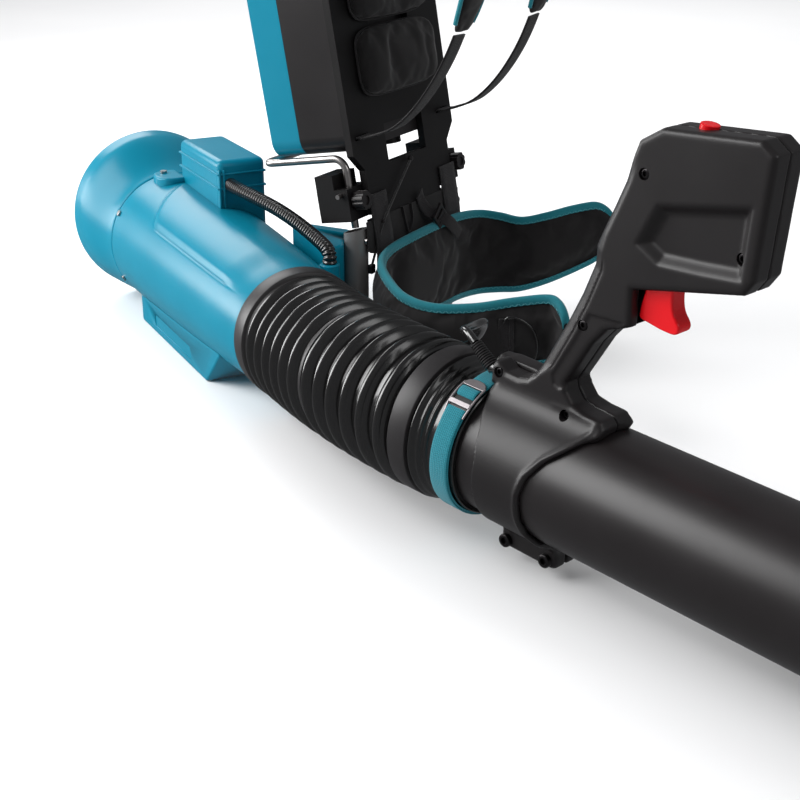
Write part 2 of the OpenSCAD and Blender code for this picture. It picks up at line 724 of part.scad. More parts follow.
// The tips are rounded off
function tip_round(t) = let (e = min(t, 1 - t) / 0.045) e < 1 ? 0.5 + 0.5 * sqrt(1 - (1 - e) * (1 - e)) : 1;
function belt_ring(t) = let (p = curve_at(belt_plan, t), n = belt_normal(t),
    half = (p[2] - p[3]) / 2 * tip_round(t), mid = (p[2] + p[3]) / 2)
    [for (l = lens) [p.x + n.x * l.y * belt_t / 2, p.y + n.y * l.y * belt_t / 2, mid + l.x * half]];
module waist_belt() {
    steps = 44;
    color(black) swept([for (k = [0:steps]) belt_ring(k / steps)]);
}

// Hangers from the board to the belt, webbing and buckle halves at the belt's two tips,
// and an elastic cord from the board down to its clip behind the right leg
hanger_y = -28 + belt_t / 2 + seat;
hanger_low = 84;
elastic_r = 1.4;
elastic_foot = [-95, -17, 129];
board_front = board_y - board_t;
hanger_t = 3;
tip_web_w = 26;
// The cord lies sunk a little in the face of the webbing that it crosses
elastic_y = board_front - seat - hanger_t - elastic_r / 2;
elastic_edge = from_lean([-77, elastic_y, 3]);
elastic_top = from_lean([-4, elastic_y, 56]);
function lean_side(y, z) = let (p = from_lean([0, y, z])) [p.y, p.z];
// Side view of the webbing that carries the belt: up from the belt, then flat on the board
hanger_side = [[hanger_y, hanger_low], [hanger_y + 2, hanger_low], [hanger_y + 2, lean_z - 4],
    lean_side(board_front - seat, 2), lean_side(board_front - seat, 35),
    lean_side(board_front - seat - hanger_t, 35), lean_side(board_front - seat - hanger_t, 0),
    [hanger_y, lean_z - 2]];
module belt_webbing() {
    color(black) {
        for (side = [-1, 1])
            translate([side > 0 ? slot_x : -slot_x - slot_w, 0, 0]) rotate([90, 0, 90])
                linear_extrude(slot_w) polygon(hanger_side);
        for (t = [0, 1]) {
            p = curve_at(belt_plan, t);
            n = belt_normal(t);
            ahead = t == 0 ? [n.y, -n.x] : [-n.y, n.x];
            translate([p.x, p.y, (p[2] + p[3]) / 2]) rotate(atan2(ahead.y, ahead.x)) {
                translate([seat, -1.25, -tip_web_w / 2]) cube([17, 2.5, tip_web_w]);
                translate([17, -5, -tip_web_w / 2 - 4]) cube([26, 10, tip_web_w + 8]);
            }
        }
        bar(elastic_foot, elastic_edge, elastic_r);
        // Bead that guides the cord over the webbing's bend
        translate(elastic_edge) sphere(r = elastic_r + 0.7);
        bar(elastic_edge, elastic_top, elastic_r);
        translate(elastic_top) rotate([90 - lean, 0, 0])
            cylinder(r = 3.5, h = 2 * (board_front - seat - elastic_y), center = true);
        // Clip on the leg that the elastic cord ends in
        translate([-leg_x, 0, elastic_foot.z - 9]) difference() {
            translate([0, -leg_r - 6, 0]) cube([8, 8, 10]);
            translate([0, 0, -1]) cylinder(r = leg_r + seat, h = 12);
        }
    }
}

// Route of a shoulder strap in the leaning frame, for the left shoulder
strap_route = [[52, -20, 404], [54, -40, 428], [58, -78, 440], [64, -124, 424], [70, -162, 378],
    [76, -180, 310], [80, -172, 238], [84, -140, 176], [86, -104, 132], [86, -66, 104], [85, -30, 95],
    [85, -16.6, 95]];
pad_share = 0.62;
function mirror_x(p, side) = [side * p.x, p.y, p.z];
function strap_ring(t, side, w, h) = let (r = [for (p = strap_route) mirror_x(p, side)],
    d = curve_dir(r, t), n = unit(cross([1, 0, 0], d)), s = cross(d, n))
    [for (l = lens) curve_at(r, t) + s * l.x * w / 2 + n * l.y * h / 2];
function pad_width(t) = shoulder_w * (0.72 + 0.28 * sin(180 * min(1, t / pad_share)));
module shoulder_pad(side) {
    steps = 22;
    color(black) in_lean() swept([for (k = [0:steps]) let (t = pad_share * k / steps,
        e = min(k, steps - k) / 2, f = e < 1 ? 0.6 + 0.4 * e : 1)
        strap_ring(t, side, pad_width(t) * f, shoulder_t * f)]);
}
module shoulder_pad_right() { shoulder_pad(-1); }
module shoulder_pad_left() { shoulder_pad(1); }
module shoulder_webbing() {
    steps = 12;
    color(webbing) in_lean() for (side = [-1, 1])
        swept([for (k = [0:steps]) strap_ring(lerp(pad_share + 0.0006, 1, k / steps), side, 25, 2.6)]);
}

// ---------- hose ----------
function hose_at(t) = let (a = t * t * t, b = t * t)
    (2 * a - 3 * b + 1) * hose_start + (a - 2 * b + t) * hose_len * barrel_fwd
    + (3 * b - 2 * a) * hose_end + (a - b) * hose_len * tube_fwd;
function hose_dir(t) = unit(hose_at(min(t + 0.003, 1)) - hose_at(max(t - 0.003, 0)));
function hose_ring(t, r, n) = let (d = hose_dir(t), s = unit(cross(d, [0, 0, 1])), u = cross(s, d))
    [for (j = [0:n - 1]) hose_at(t) + r * (cos(360 * j / n) * s + sin(360 * j / n) * u)];
cuff_r = 65.5;
function rib_peak(t) = lerp(collar_r - 0.8, cuff_r + 1, t);
hose_sides = 24;
// Half of the hose; its valley next to the tie band is flat for the share flat0 or flat1
module bellows(t0, t1, flat0, flat1) {
    color(rubber) swept_loop(concat(
        flat0 > 0 ? [hose_ring(t0, rib_peak(t0) - rib_depth, hose_sides)] : [],
        [for (k = [0:ribs]) let (t = lerp(t0 + flat0, t1 - flat1, k / ribs))
            hose_ring(t, rib_peak(t) - (k % 2 == 0 ? rib_depth : 0), hose_sides)],
        flat1 > 0 ? [hose_ring(t1, rib_peak(t1) - rib_depth, hose_sides)] : [],
        [for (k = [6:-1:0]) hose_ring(lerp(t0, t1, k / 6), hose_bore_r, hose_sides)]));
}
hose_gap = 0.0008;
tie_flat = 0.014;
module bellows_rear() { bellows(hose_gap, 0.5 - hose_gap, 0, tie_flat); }
module bellows_front() { bellows(0.5 + hose_gap, 1 - hose_gap, tie_flat, 0); }

module hose_collar() {
    color(rubber) in_barrel() turned([[spigot_r + 0.1, 0.3], [collar_r - 1, 0.3], [collar_r, 1.5],
        [collar_r, collar_len - 5], [collar_r - 2, collar_len - 2], [collar_r - 5, collar_len - 0.2],
        [spigot_r + 0.1, collar_len - 0.2]]);
}

// A thin band in the middle valley of the hose, with an eye for the lead
tie_r = rib_peak(0.5) - rib_depth + 0.3;
cable_r = 3.6;
cable_side = 78;
cable_up = 20;
hose_mid = hose_at(0.5);
mid_yaw = atan2(-hose_dir(0.5).x, -hose_dir(0.5).y);
mid_droop = asin(-hose_dir(0.5).z);
module hose_tie() {
    color(black) translate(hose_mid) rotate([0, 0, -mid_yaw]) rotate([mid_droop, 0, 0])
        rotate([90, 0, 0]) difference() {
        union() {
            ring(tie_r + 2.4, tie_r, -2.5, 2.5);
            translate([tie_r + 0.5, cable_up - 5, -2.5]) cube([cable_side - tie_r + 6, 10, 5]);
        }
        translate([cable_side, cable_up, -5]) cylinder(r = cable_r + 0.15, h = 10);
    }
}

// The lead from the handle runs along the inboard side of the hose
cable_gland = [80, 16];
relief_base = [4, 74, 9];
relief_dir = unit([0.06, 0.66, -0.75]);
relief_len = 30;
relief_end = relief_base + relief_len * relief_dir;
function beside_hose(t, side, up) = hose_at(t) + side * unit(cross([0, 0, 1], hose_dir(t))) + [0, 0, up];
cable_rear_route = [from_barrel([cable_gland.x, cable_gland.y, -53]),
    from_barrel([cable_gland.x, cable_gland.y, -38]), from_barrel([cable_gland.x, 17, 0]),
    beside_hose(0.12, 80, 18), beside_hose(0.3, 79, 19),
    beside_hose(0.44, cable_side, cable_up), beside_hose(0.498, cable_side, cable_up)];
cable_front_route = [beside_hose(0.502, cable_side, cable_up), beside_hose(0.56, cable_side, cable_up),
    beside_hose(0.72, 78, 28), beside_hose(0.86, 72, 48), from_tube([56, 72, -52]),
    from_tube([32, 92, -42]), from_tube([13, 101, -31]), from_tube(relief_end + 8 * relief_dir),
    from_tube(relief_end + 0.2 * relief_dir)];
module lead(route, steps) {
    color(black) swept([for (k = [0:steps]) round_ring(route, k / steps, cable_r, 8)]);
}
module cable_rear() { lead(cable_rear_route, 18); }
module cable_front() { lead(cable_front_route, 22); }

strap_in = tube_r + 4.6;
module hose_cuff() {
    bore = tube_r + 0.1;
    color(rubber) in_tube() turned([[bore, 0.2 - cuff_len], [cuff_r, 0.2 - cuff_len], [cuff_r, -24],
        [cuff_r - 3.5, -23], [cuff_r - 1, -20], [cuff_r - 1, -17], [cuff_r - 4, -15], [cuff_r - 1.5, -12],
        [cuff_r - 1.5, -9], [cuff_r - 5, -7], [cuff_r - 3, -4], [strap_in, -1], [strap_in - seat, 0],
        [strap_in - seat, strap_w + 2], [bore, strap_w + 2]]);
}

module hose_strap() {
    color(webbing) in_tube() ring(strap_in + 2, strap_in, 0.4, strap_w);
}

buckle_angle = 126;
module strap_buckle() {
    color(gunmetal) in_tube() rotate(buckle_angle) translate([strap_in + 2 + seat, -19, -0.6]) difference() {
        cube([4, 38, strap_w + 2.4]);
        for (y = [5, 16, 27]) translate([-1, y, 3]) cube([6, 6, strap_w - 3.6]);
    }
}

// ---------- blower tube and nozzle ----------
module blower_tube() {
    color(black) in_tube() ring(tube_r, tube_r - tube_wall, 5 - cuff_len, tube_len);
}

nozzle_start = tube_len - nozzle_lap;
socket_r = tube_r + 3;
module nozzle() {
    color(black) in_tube() turned([[tube_r + 0.08, nozzle_start], [socket_r, nozzle_start],
        [socket_r, tube_len + 6], [tube_r - 1, tube_len + 40], [mouth_r + 4, mouth_z - 120],
        [mouth_r, mouth_z - 20], [mouth_r, mouth_z], [mouth_r - 2.5, mouth_z], [mouth_r - 2.5, mouth_z - 20],
        [mouth_r + 1.5, mouth_z - 120], [tube_r - 3.5, tube_len + 40], [tube_r - 2.5, tube_len + 1],
        [tube_r + 0.08, tube_len + 1]]);
}

// ---------- clamp sleeve and handle ----------
sleeve_r = tube_r + sleeve_wall;
sleeve_profile = [[28, 70], [29, 50], [40, 35], [45, 14], [45, -14], [45, -90], [104, -90], [104, -46],
    [97, -34], [95, -17], [95, 2], [99, 18], [109, 33], [126, 48], [134, 58], [134, 70]];
lug_drop = 20;
lug_half = 15;
lug_z = [44, 103];
clamp_bolt = [[51, -sleeve_r - 13], [94, -sleeve_r - 13]];
module clamp_sleeve() {
    color(black) in_tube() difference() {
        union() {
            intersection() {
                ring(sleeve_r, tube_r + 0.1, 20, 140);
                side_slab(sleeve_profile, -80, 80);
            }
            difference() {
                translate([-lug_half, -sleeve_r - lug_drop, lug_z[0]])
                    cube([2 * lug_half, lug_drop + 8, lug_z[1] - lug_z[0]]);
                translate([0, 0, 20]) cylinder(r = tube_r + 0.1, h = 120);
            }
        }
        // The slot lets the two lugs draw together on the tube
        translate([-1.5, -sleeve_r - lug_drop - 1, 0]) cube([3, lug_drop + 12, 140]);
        for (p = clamp_bolt) translate([-lug_half - 1, p.y, p.x]) rotate([0, 90, 0])
            cylinder(r = 2.6, h = 2 * lug_half + 2);
    }
}

module clamp_screws() {
    color(steel) in_tube() for (p = clamp_bolt) translate([0, p.y, p.x]) rotate([0, 90, 0]) {
        translate([0, 0, -lug_half - 5]) cylinder(r = 2.5, h = 2 * lug_half + 9);
        translate([0, 0, -lug_half - 5]) cylinder(r = 5.5, h = 4.8);
        translate([0, 0, lug_half + 0.2]) cylinder(r = 5, h = 3.8, $fn = 6);
    }
}

// Outlines of the handle seen from the side, as [z, y]
handle_outline = [[10, 64], [12, 81], [26, 84], [38, 79], [50, 79], [58, 86], [97, 150], [104, 190],
    [126, 252], [138, 286], [160, 296], [238, 304], [250, 296], [247, 210], [240, 199], [150, 177],
    [152, 149], [146, 146], [131, 138], [112, 95], [108, 82], [112, 72], [134, 61], [134, 48], [30, 48], [30, 64]];
handle_cavity = [[63, 84], [101, 149], [108, 189], [130, 251], [141, 283], [161, 292], [237, 300],
    [246, 294], [243, 212], [238, 203], [152, 181.5], [148, 181.5], [148, 152], [144, 150], [128, 141],
    [108, 96], [98, 78]];
trigger_slot = [[136, 150], [136, 204], [186, 204], [186, 130], [153, 130], [153, 150]];
shell_wall = 4;
trigger_pivot = [166, 197];
lever_pivot = [200, 250];
handle_screw_at = [[109.5, 137.5], [150, 262], [31, 73], [102, 62], [232, 222]];
button_at = [186, 298.7];
button_tilt = 6;
thumb_r = 7;
screw_r = 1.6;
boss_r = 5.2;
module handle_shell(side) {
    half = handle_w / 2;
    color(black) in_tube() difference() {
        side_slab(handle_outline, side > 0 ? 0.05 : -half, side > 0 ? half : -0.05);
        difference() {
            side_slab(handle_cavity, side > 0 ? -1 : shell_wall - half, side > 0 ? half - shell_wall : 1);
            for (p = handle_screw_at) translate([-half, p.y, p.x]) rotate([0, 90, 0])
                cylinder(r = boss_r, h = handle_w);
        }
        for (p = handle_screw_at) translate([-half - 1, p.y, p.x]) rotate([0, 90, 0])
            cylinder(r = screw_r + 0.05, h = handle_w - 3);
        side_slab(trigger_slot, side > 0 ? -1 : -trigger_w / 2 - run, side > 0 ? trigger_w / 2 + run : 1);
        translate([0, 0, -10]) cylinder(r = sleeve_r + seat, h = 160);
        // Pivot holes of the trigger, the hole of the power button and the lead's gland
        translate([side * (half - shell_wall - 1), trigger_pivot.y, trigger_pivot.x])
            rotate([0, side * 90, 0]) cylinder(r = 2.56, h = 3.5);
        translate([0, button_at.y, button_at.x]) rotate([-90 - button_tilt, 0, 0])
            translate([0, 0, -8]) cylinder(r = thumb_r + run, h = 14);
        translate([relief_base.x, relief_base.y, relief_base.z - 4]) cylinder(r = 5.2, h = 16);
        if (side > 0) translate([half - shell_wall - 1, lever_pivot.y, lever_pivot.x])
            rotate([0, 90, 0]) cylinder(r = 4.05, h = shell_wall + 2);
        if (side < 0) for (p = handle_screw_at) translate([-half - 1, p.y, p.x])
            rotate([0, 90, 0]) cylinder(r = 4.4, h = 4.5);
    }
}
module handle_shell_right() { handle_shell(-1); }
module handle_shell_left() { handle_shell(1); }

module handle_screws() {
    color(steel) in_tube() for (p = handle_screw_at)
        translate([1.4 - handle_w / 2, p.y, p.x]) rotate([0, 90, 0]) difference() {
            union() {
                cylinder(r = 3.8, h = 2);
                cylinder(r = screw_r, h = handle_w - 8);
            }
            translate([0, 0, -1]) cylinder(r = 1.5, h = 2);
        }
}

module switch_unit() {
    half = handle_w / 2 - shell_wall - seat;
    color(gunmetal) in_tube() translate([-half, 184, 114]) cube([2 * half, 20, 20]);
}

trigger_outline = [[158, 190], [162, 204], [172, 203], [178, 186], [179, 172], [181, 165], [187, 158],
    [187, 153], [183, 150.5], [172, 151], [151.5, 154], [152.5, 166]];
module trigger() {
    color(red) in_tube() {
        side_slab(trigger_outline, -trigger_w / 2, trigger_w / 2);
        translate([-handle_w / 2 + 1.8, trigger_pivot.y, trigger_pivot.x]) rotate([0, 90, 0])
            cylinder(r = 2.5, h = handle_w - 3.6);
    }
}

module cruise_lever() {
    half = handle_w / 2;
    color(black) in_tube() translate([0, lever_pivot.y, lever_pivot.x]) {
        translate([half - shell_wall - 0.8, 0, 0]) rotate([0, 90, 0]) cylinder(r = 4, h = shell_wall + 3);
        translate([half + run, 0, 0]) rotate([0, 90, 0]) cylinder(r = 13, h = 6);
        translate([half + run, -5, -36]) cube([5, 10, 30]);
        translate([half + run, 0, -36]) rotate([0, 90, 0]) cylinder(r = 6, h = 7);
    }
}

module power_button() {
    color(red) in_tube() translate([0, button_at.y, button_at.x]) rotate([-90 - button_tilt, 0, 0]) {
        translate([0, 0, -6.4]) cylinder(r = thumb_r, h = 6.4 + button_travel + 0.8);
        translate([0, 0, -6.4]) cylinder(r = thumb_r + 1.8, h = 2);
    }
}

module cable_relief() {
    color(rubber) in_tube() {
        bar(relief_base, relief_end, 4);
        for (k = [1:8]) bar(relief_base + k * 3.3 * relief_dir, relief_base + (k * 3.3 + 1.8) * relief_dir,
            6.2 - k * 0.15);
        translate([relief_base.x, relief_base.y, relief_base.z - 2]) cylinder(r = 5, h = 12);
    }
}

fan_barrel();
intake_bell();
intake_grille();
foot_block();
motor_controller();
stator_vanes();
motor_can();
motor_windings();
shaft_bearings();
motor_shaft();
rotor_core();
impeller();
control_box();
conduit();
conduit_boss();
housing_screws();
bracket_arm();
lower_frame_tube();
frame_foot();
tube_plugs();
frame_screws();
cradle_rod();
side_bracket_right();
side_bracket_left();
knob_right();
knob_left();
lock_pins();
backboard();
back_pad();
waist_belt();
belt_webbing();
shoulder_pad_right();
shoulder_pad_left();
shoulder_webbing();
carry_handle();
pack_case();
pack_cover();
cell_block();
pack_button();
hose_collar();
bellows_rear();
cable_rear();
hose_tie();
bellows_front();
cable_front();
hose_cuff();
hose_strap();
strap_buckle();
blower_tube();
clamp_sleeve();
clamp_screws();
handle_shell_right();
handle_shell_left();
handle_screws();
switch_unit();
trigger();
cruise_lever();
power_button();
cable_relief();
nozzle();
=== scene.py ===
"""Backpack leaf blower: an in-line fan in a moulded barrel, a ribbed hose, a pistol handle and a harness.

Lengths are millimetres in the frames named below and metres in the row frame: the wearer faces -Y
and the wearer's left is +X.
"""

import json
import math

import bmesh
import bpy
import numpy as np
from mathutils import Matrix, Vector

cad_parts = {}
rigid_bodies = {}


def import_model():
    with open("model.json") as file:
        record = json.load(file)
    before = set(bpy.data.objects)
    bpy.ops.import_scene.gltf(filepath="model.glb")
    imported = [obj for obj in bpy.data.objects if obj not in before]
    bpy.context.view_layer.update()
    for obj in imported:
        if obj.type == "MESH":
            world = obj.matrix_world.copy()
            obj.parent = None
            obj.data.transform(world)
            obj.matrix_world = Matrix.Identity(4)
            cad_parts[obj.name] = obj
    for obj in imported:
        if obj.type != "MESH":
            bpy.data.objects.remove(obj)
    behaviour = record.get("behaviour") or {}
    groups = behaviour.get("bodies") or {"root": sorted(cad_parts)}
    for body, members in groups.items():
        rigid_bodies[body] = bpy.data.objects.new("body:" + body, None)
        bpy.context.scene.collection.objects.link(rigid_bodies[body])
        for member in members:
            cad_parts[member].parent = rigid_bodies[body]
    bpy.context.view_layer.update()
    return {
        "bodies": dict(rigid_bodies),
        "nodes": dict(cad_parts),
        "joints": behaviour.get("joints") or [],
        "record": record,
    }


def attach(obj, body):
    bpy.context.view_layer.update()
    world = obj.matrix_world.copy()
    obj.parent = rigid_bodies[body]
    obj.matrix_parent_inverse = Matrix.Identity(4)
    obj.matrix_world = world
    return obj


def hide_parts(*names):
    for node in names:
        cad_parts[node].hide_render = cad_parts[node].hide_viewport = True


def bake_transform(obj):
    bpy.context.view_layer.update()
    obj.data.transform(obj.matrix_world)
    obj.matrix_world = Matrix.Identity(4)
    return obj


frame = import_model()
nodes = frame["nodes"]

# ---------------------------------------------------------------- studio
# The camera stands low beside the blower's right hand side. Four soft boxes, three at the left and
# one at the right, show in the gloss; two that gloss can't show, and a pale room, fill the shadows.
MM = 0.001
camera_data = bpy.data.cameras.new("camera")
camera_data.lens = 65.36
camera_data.sensor_width = 36
camera_data.clip_end = 100


def placed(name, data):
    """A new object in the scene."""
    made = bpy.data.objects.new(name, data)
    bpy.context.scene.collection.objects.link(made)
    return made


camera = placed("camera", camera_data)
camera.location = (-1.3518, -0.7893, 0.5809)
camera.rotation_euler = (math.radians(90 - 22.336), 0, math.radians(-59.577))
bpy.context.scene.camera = camera
bpy.context.scene.view_settings.view_transform = "Standard"

lit_middle = Vector((-0.25, -0.25, 0.12))


def soft_box(name, azimuth, elevation, distance, width, height, power, mirrored=True):
    """A lamp that looks at the machine's middle from a compass direction; mirrored lets gloss show it."""
    data = bpy.data.lights.new(name, "AREA")
    data.shape, data.size, data.size_y = "RECTANGLE", width, height
    data.energy = power
    lamp = placed(name, data)
    a, e = math.radians(azimuth), math.radians(elevation)
    away = Vector((math.cos(a) * math.cos(e), math.sin(a) * math.cos(e), math.sin(e)))
    lamp.location = lit_middle + distance * away
    lamp.rotation_euler = (-away).to_track_quat("-Z", "Y").to_euler()
    lamp.visible_glossy = mirrored


for lamp_facts in (("tall_box", 124, 33, 2.6, 1.8, 1.6, 72), ("low_box", 100, 7, 2.2, 1.2, 0.6, 22),
                   ("rear_box", 60, 26, 2.6, 1.1, 0.8, 14), ("side_box", 262, 34, 2.8, 1.1, 1.5, 12),
                   ("top_box", 215, 66, 3.4, 2.6, 2.6, 30, False),
                   ("far_wash", 30, 42, 4.6, 3.2, 3.2, 125, False)):
    soft_box(*lamp_facts)

world = bpy.data.worlds.new("room")
bpy.context.scene.world = world
world.use_nodes = True
world.node_tree.nodes["Background"].inputs["Color"].default_value = (0.62, 0.63, 0.65, 1)
world.node_tree.nodes["Background"].inputs["Strength"].default_value = 0.34


class Wire:
    """A node's output. Arithmetic on it adds Math nodes."""

    def __init__(self, paint, socket):
        self.paint, self.socket = paint, socket

    def maths(self, operation, a, b):
        return self.paint.node("ShaderNodeMath", {"operation": operation}, {0: a, 1: b})

    def __add__(self, other):
        return self.maths("ADD", self, other)

    def __sub__(self, other):
        return self.maths("SUBTRACT", self, other)

    def __rsub__(self, other):
        return self.maths("SUBTRACT", other, self)

    def __mul__(self, other):
        return self.maths("MULTIPLY", self, other)

    def __truediv__(self, other):
        return self.maths("DIVIDE", self, other)

    def __pow__(self, other):
        return self.maths("POWER", self, other)

    __radd__, __rmul__ = __add__, __mul__


class Paint:
    """A material under one Principled shader, and the one way that its nodes are made."""

    def __init__(self, name, slot="", **constants):
        self.slot = slot
        self.material = bpy.data.materials.new(name)
        self.material.use_nodes = True
        self.tree = self.material.node_tree
        self.shader = self.tree.nodes["Principled BSDF"]
        self.put(self.shader, {key.replace("_", " "): value for key, value in constants.items()})

    def put(self, made, inputs):
        for key, value in inputs.items():
            if isinstance(value, Wire):
                self.tree.links.new(value.socket, made.inputs[key])
            else:
                made.inputs[key].default_value = value

    def node(self, kind, settings=None, inputs=None, out=0):
        made = self.tree.nodes.new(kind)
        for key, value in (settings or {}).items():
            if key == "stops":
                for k, (place, grey) in enumerate(value):
                    stop = made.color_ramp.elements[k] if k < 2 else made.color_ramp.elements.new(place)
                    stop.position, stop.color = place, (grey, grey, grey, 1)
            else:
                setattr(made, key, value)
        self.put(made, inputs or {})
        return Wire(self, made.outputs[out])

    def finish(self, **inputs):
        self.put(self.shader, {key.replace("_", " "): value for key, value in inputs.items()})

    def place(self):
        """Metres in the row frame at rest."""
        return self.node("ShaderNodeTexCoord", out="Object")

    def noise(self, scale, detail=2.0, rough=0.5, at=None):
        return self.node("ShaderNodeTexNoise", None,
                         {"Vector": at or self.place(), "Scale": scale, "Detail": detail, "Roughness": rough})

    def ramp(self, value, *stops):
        return self.node("ShaderNodeValToRGB", {"stops": stops}, {"Fac": value})

    def blend(self, mask, a, b):
        """Colour a where mask is 0 and b where it is 1."""
        return self.node("ShaderNodeMix", {"data_type": "RGBA"}, {0: mask, 6: a, 7: b}, out=2)

    def wave(self, value):
        """A sine of the value, from 0 to 1."""
        return self.node("ShaderNodeMath", {"operation": "SINE"}, {0: value}) * 0.5 + 0.5

    def bump(self, height, distance, strength=1.0):
        return self.node("ShaderNodeBump", None, {"Height": height, "Distance": distance, "Strength": strength})


def rgb(red, green, blue):
    """A colour as a screen shows it, from 0 to 255, as the shader wants it."""
    return tuple(((c / 255 + 0.055) / 1.055) ** 2.4 if c > 10 else c / 255 / 12.92
                 for c in (red, green, blue)) + (1,)


floor_paint = Paint("studio_floor", Roughness=0.9)
floor_tone = floor_paint.noise(3.0)
floor_paint.finish(Base_Color=floor_paint.blend(floor_tone, rgb(240, 240, 241), rgb(246, 246, 246)))
floor_data = bpy.data.meshes.new("floor")
floor_half = 14.0
floor_drop = 0.0004
floor_corners = ((-1, -1), (1, -1), (1, 1), (-1, 1))
floor_data.from_pydata([(x * floor_half, y * floor_half, -floor_drop) for x, y in floor_corners],
                       [], [(0, 1, 2, 3)])
floor = placed("floor", floor_data)
floor_data.materials.append(floor_paint.material)
floor.visible_glossy = False

# ---------------------------------------------------------------- frames and finishes
# The barrel lies 33 degrees across the wearer's heading and the tube 16, drooping until its nozzle
# touches the floor. In both frames x points inboard, y up and z along the air stream.
barrel_yaw, tube_yaw = math.radians(33), math.radians(16)
tube_height, cuff_len, mouth_z, mouth_r = 95.3, 45, 911, 42
tube_droop = (math.asin(tube_height / math.hypot(cuff_len + mouth_z, mouth_r))
              - math.atan2(mouth_r, cuff_len + mouth_z))
barrel_origin = Vector((-213, 0, 88))
barrel_fwd = Vector((-math.sin(barrel_yaw), -math.cos(barrel_yaw), 0))
tube_fwd = Vector((-math.sin(tube_yaw) * math.cos(tube_droop), -math.cos(tube_yaw) * math.cos(tube_droop),
                   -math.sin(tube_droop)))
collar_len, hose_len = 26, 251
chord_yaw = (barrel_yaw + tube_yaw) / 2 + math.radians(4.4)
hose_start = barrel_origin + collar_len * barrel_fwd
hose_end = Vector((hose_start.x - hose_len * math.sin(chord_yaw), hose_start.y - hose_len * math.cos(chord_yaw),
                   tube_height))
tube_origin = hose_end + cuff_len * tube_fwd
lean, lean_z = math.radians(10), 166
ROW = Matrix.Scale(MM, 4)


def axes(origin, x, y, z):
    """The matrix from millimetres in a frame to metres in the row frame."""
    turn = Matrix((x, y, z)).transposed().to_4x4()
    return ROW @ Matrix.Translation(origin) @ turn


UP = Vector((0, 0, 1))
BARREL = axes(barrel_origin, UP.cross(barrel_fwd), UP, barrel_fwd)
tube_side = UP.cross(tube_fwd).normalized()
TUBE = axes(tube_origin, tube_side, tube_fwd.cross(tube_side), tube_fwd)
LEAN = ROW @ Matrix.Translation((0, 0, lean_z)) @ Matrix.Rotation(-lean, 4, "X")


def moulded(name, slot, base, rough, grain=900, depth=0.00004, coat=0.0, spread=0.05, gloss=0.5):
    """Moulded plastic: a fine grained skin whose tone and gloss drift a little."""
    paint = Paint(name, slot, IOR=1.5, Specular_IOR_Level=gloss, Coat_Roughness=0.12)
    drift = paint.noise(14, 3)
    fine = paint.noise(grain, 2)
    scuffs = paint.ramp(paint.noise(130, 5, 0.7), (0.55, 0), (0.8, 1))
    pale = tuple(min(1, c * (1 + 3 * spread) + 0.004) for c in base[:3]) + (1,)
    dark = tuple(c * (1 - 2 * spread) for c in base[:3]) + (1,)
    paint.finish(Base_Color=paint.blend(drift, dark, pale),
                 Roughness=drift * 0.08 + scuffs * 0.05 + (rough - 0.04),
                 Coat_Weight=coat, Normal=paint.bump(fine + drift * 0.5, depth))
    return paint


def metal(name, slot, base, rough, streak=(400, 400, 18), wear=0.06, shine=1.0):
    """Drawn metal: fine streaks along z and a little unevenness in its gloss."""
    paint = Paint(name, slot, Metallic=shine)
    along = paint.node("ShaderNodeMapping", None, {"Vector": paint.place(), "Scale": streak})
    lines = paint.noise(1, 4, 0.6, along)
    spots = paint.noise(60, 4)
    low = tuple(c * 0.82 for c in base[:3]) + (1,)
    paint.finish(Base_Color=paint.blend(spots, low, base),
                 Roughness=lines * 0.12 + spots * wear + (rough - 0.08),
                 Normal=paint.bump(lines, 0.00003))
    return paint


teal = moulded("teal_housing", "housing_teal", rgb(0, 114, 138), 0.3, 700, 0.00003, 0.0, 0.03, 0.2)
black = moulded("black_plastic", "black_plastic", rgb(22, 19, 20), 0.4, gloss=0.36)
tube_black = moulded("tube_plastic", "tube_plastic", rgb(23, 19, 20), 0.36, 500, 0.00002, gloss=0.45)
rubber = moulded("hose_rubber", "rubber", rgb(11, 10, 10), 0.2, 300, 0.000003, 0.3, gloss=0.7)
# Satin rubber: its paler tone is the real satin finish on the collar, cuff band and tie, and a painted sheen on
# the cable relief.
satin_rubber_and_painted_sheen = moulded("collar_rubber_and_painted_sheen", "rubber", rgb(34, 32, 33), 0.42, gloss=0.4)
red = moulded("red_plastic", "red_plastic", rgb(208, 4, 18), 0.24, 500, 0.00001, 0.0, 0.02, 0.3)
bright_steel = metal("bright_steel", "steel", rgb(176, 172, 170), 0.3)
frame_coat = metal("frame_coat", "steel", rgb(146, 143, 142), 0.36, shine=0.5)
board_black = moulded("board_plastic", "black_plastic", rgb(13, 11, 12), 0.5, gloss=0.25)
board_green = moulded("circuit_board", "circuit_board", rgb(32, 84, 52), 0.4, 300)
copper_wire = metal("copper_wire", "copper", rgb(190, 105, 62), 0.35, (900, 900, 900))


def mesh_piece(name, points, faces, paint, body, space=ROW, replaced=(), crease=32, slot=None):
    """A named piece from millimetre points in one of the frames, smooth but for its creases."""
    slot = slot or paint.slot
    data = bpy.data.meshes.new(name)
    data.from_pydata([tuple(p) for p in points], [], [tuple(f) for f in faces])
    data.transform(space)
    data.validate()
    piece = placed(name, data)
    data.materials.append(paint.material)
    data.shade_smooth()
    data.set_sharp_from_angle(angle=math.radians(crease))
    if body:
        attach(piece, body)
    if replaced:
        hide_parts(*replaced)
    return piece


def settle(piece):
    """Puts what the piece's modifiers make into its mesh."""
    bpy.context.view_layer.update()
    made = bpy.data.meshes.new_from_object(piece.evaluated_get(bpy.context.evaluated_depsgraph_get()))
    piece.modifiers.clear()
    old, piece.data = piece.data, made
    bpy.data.meshes.remove(old)
    return piece


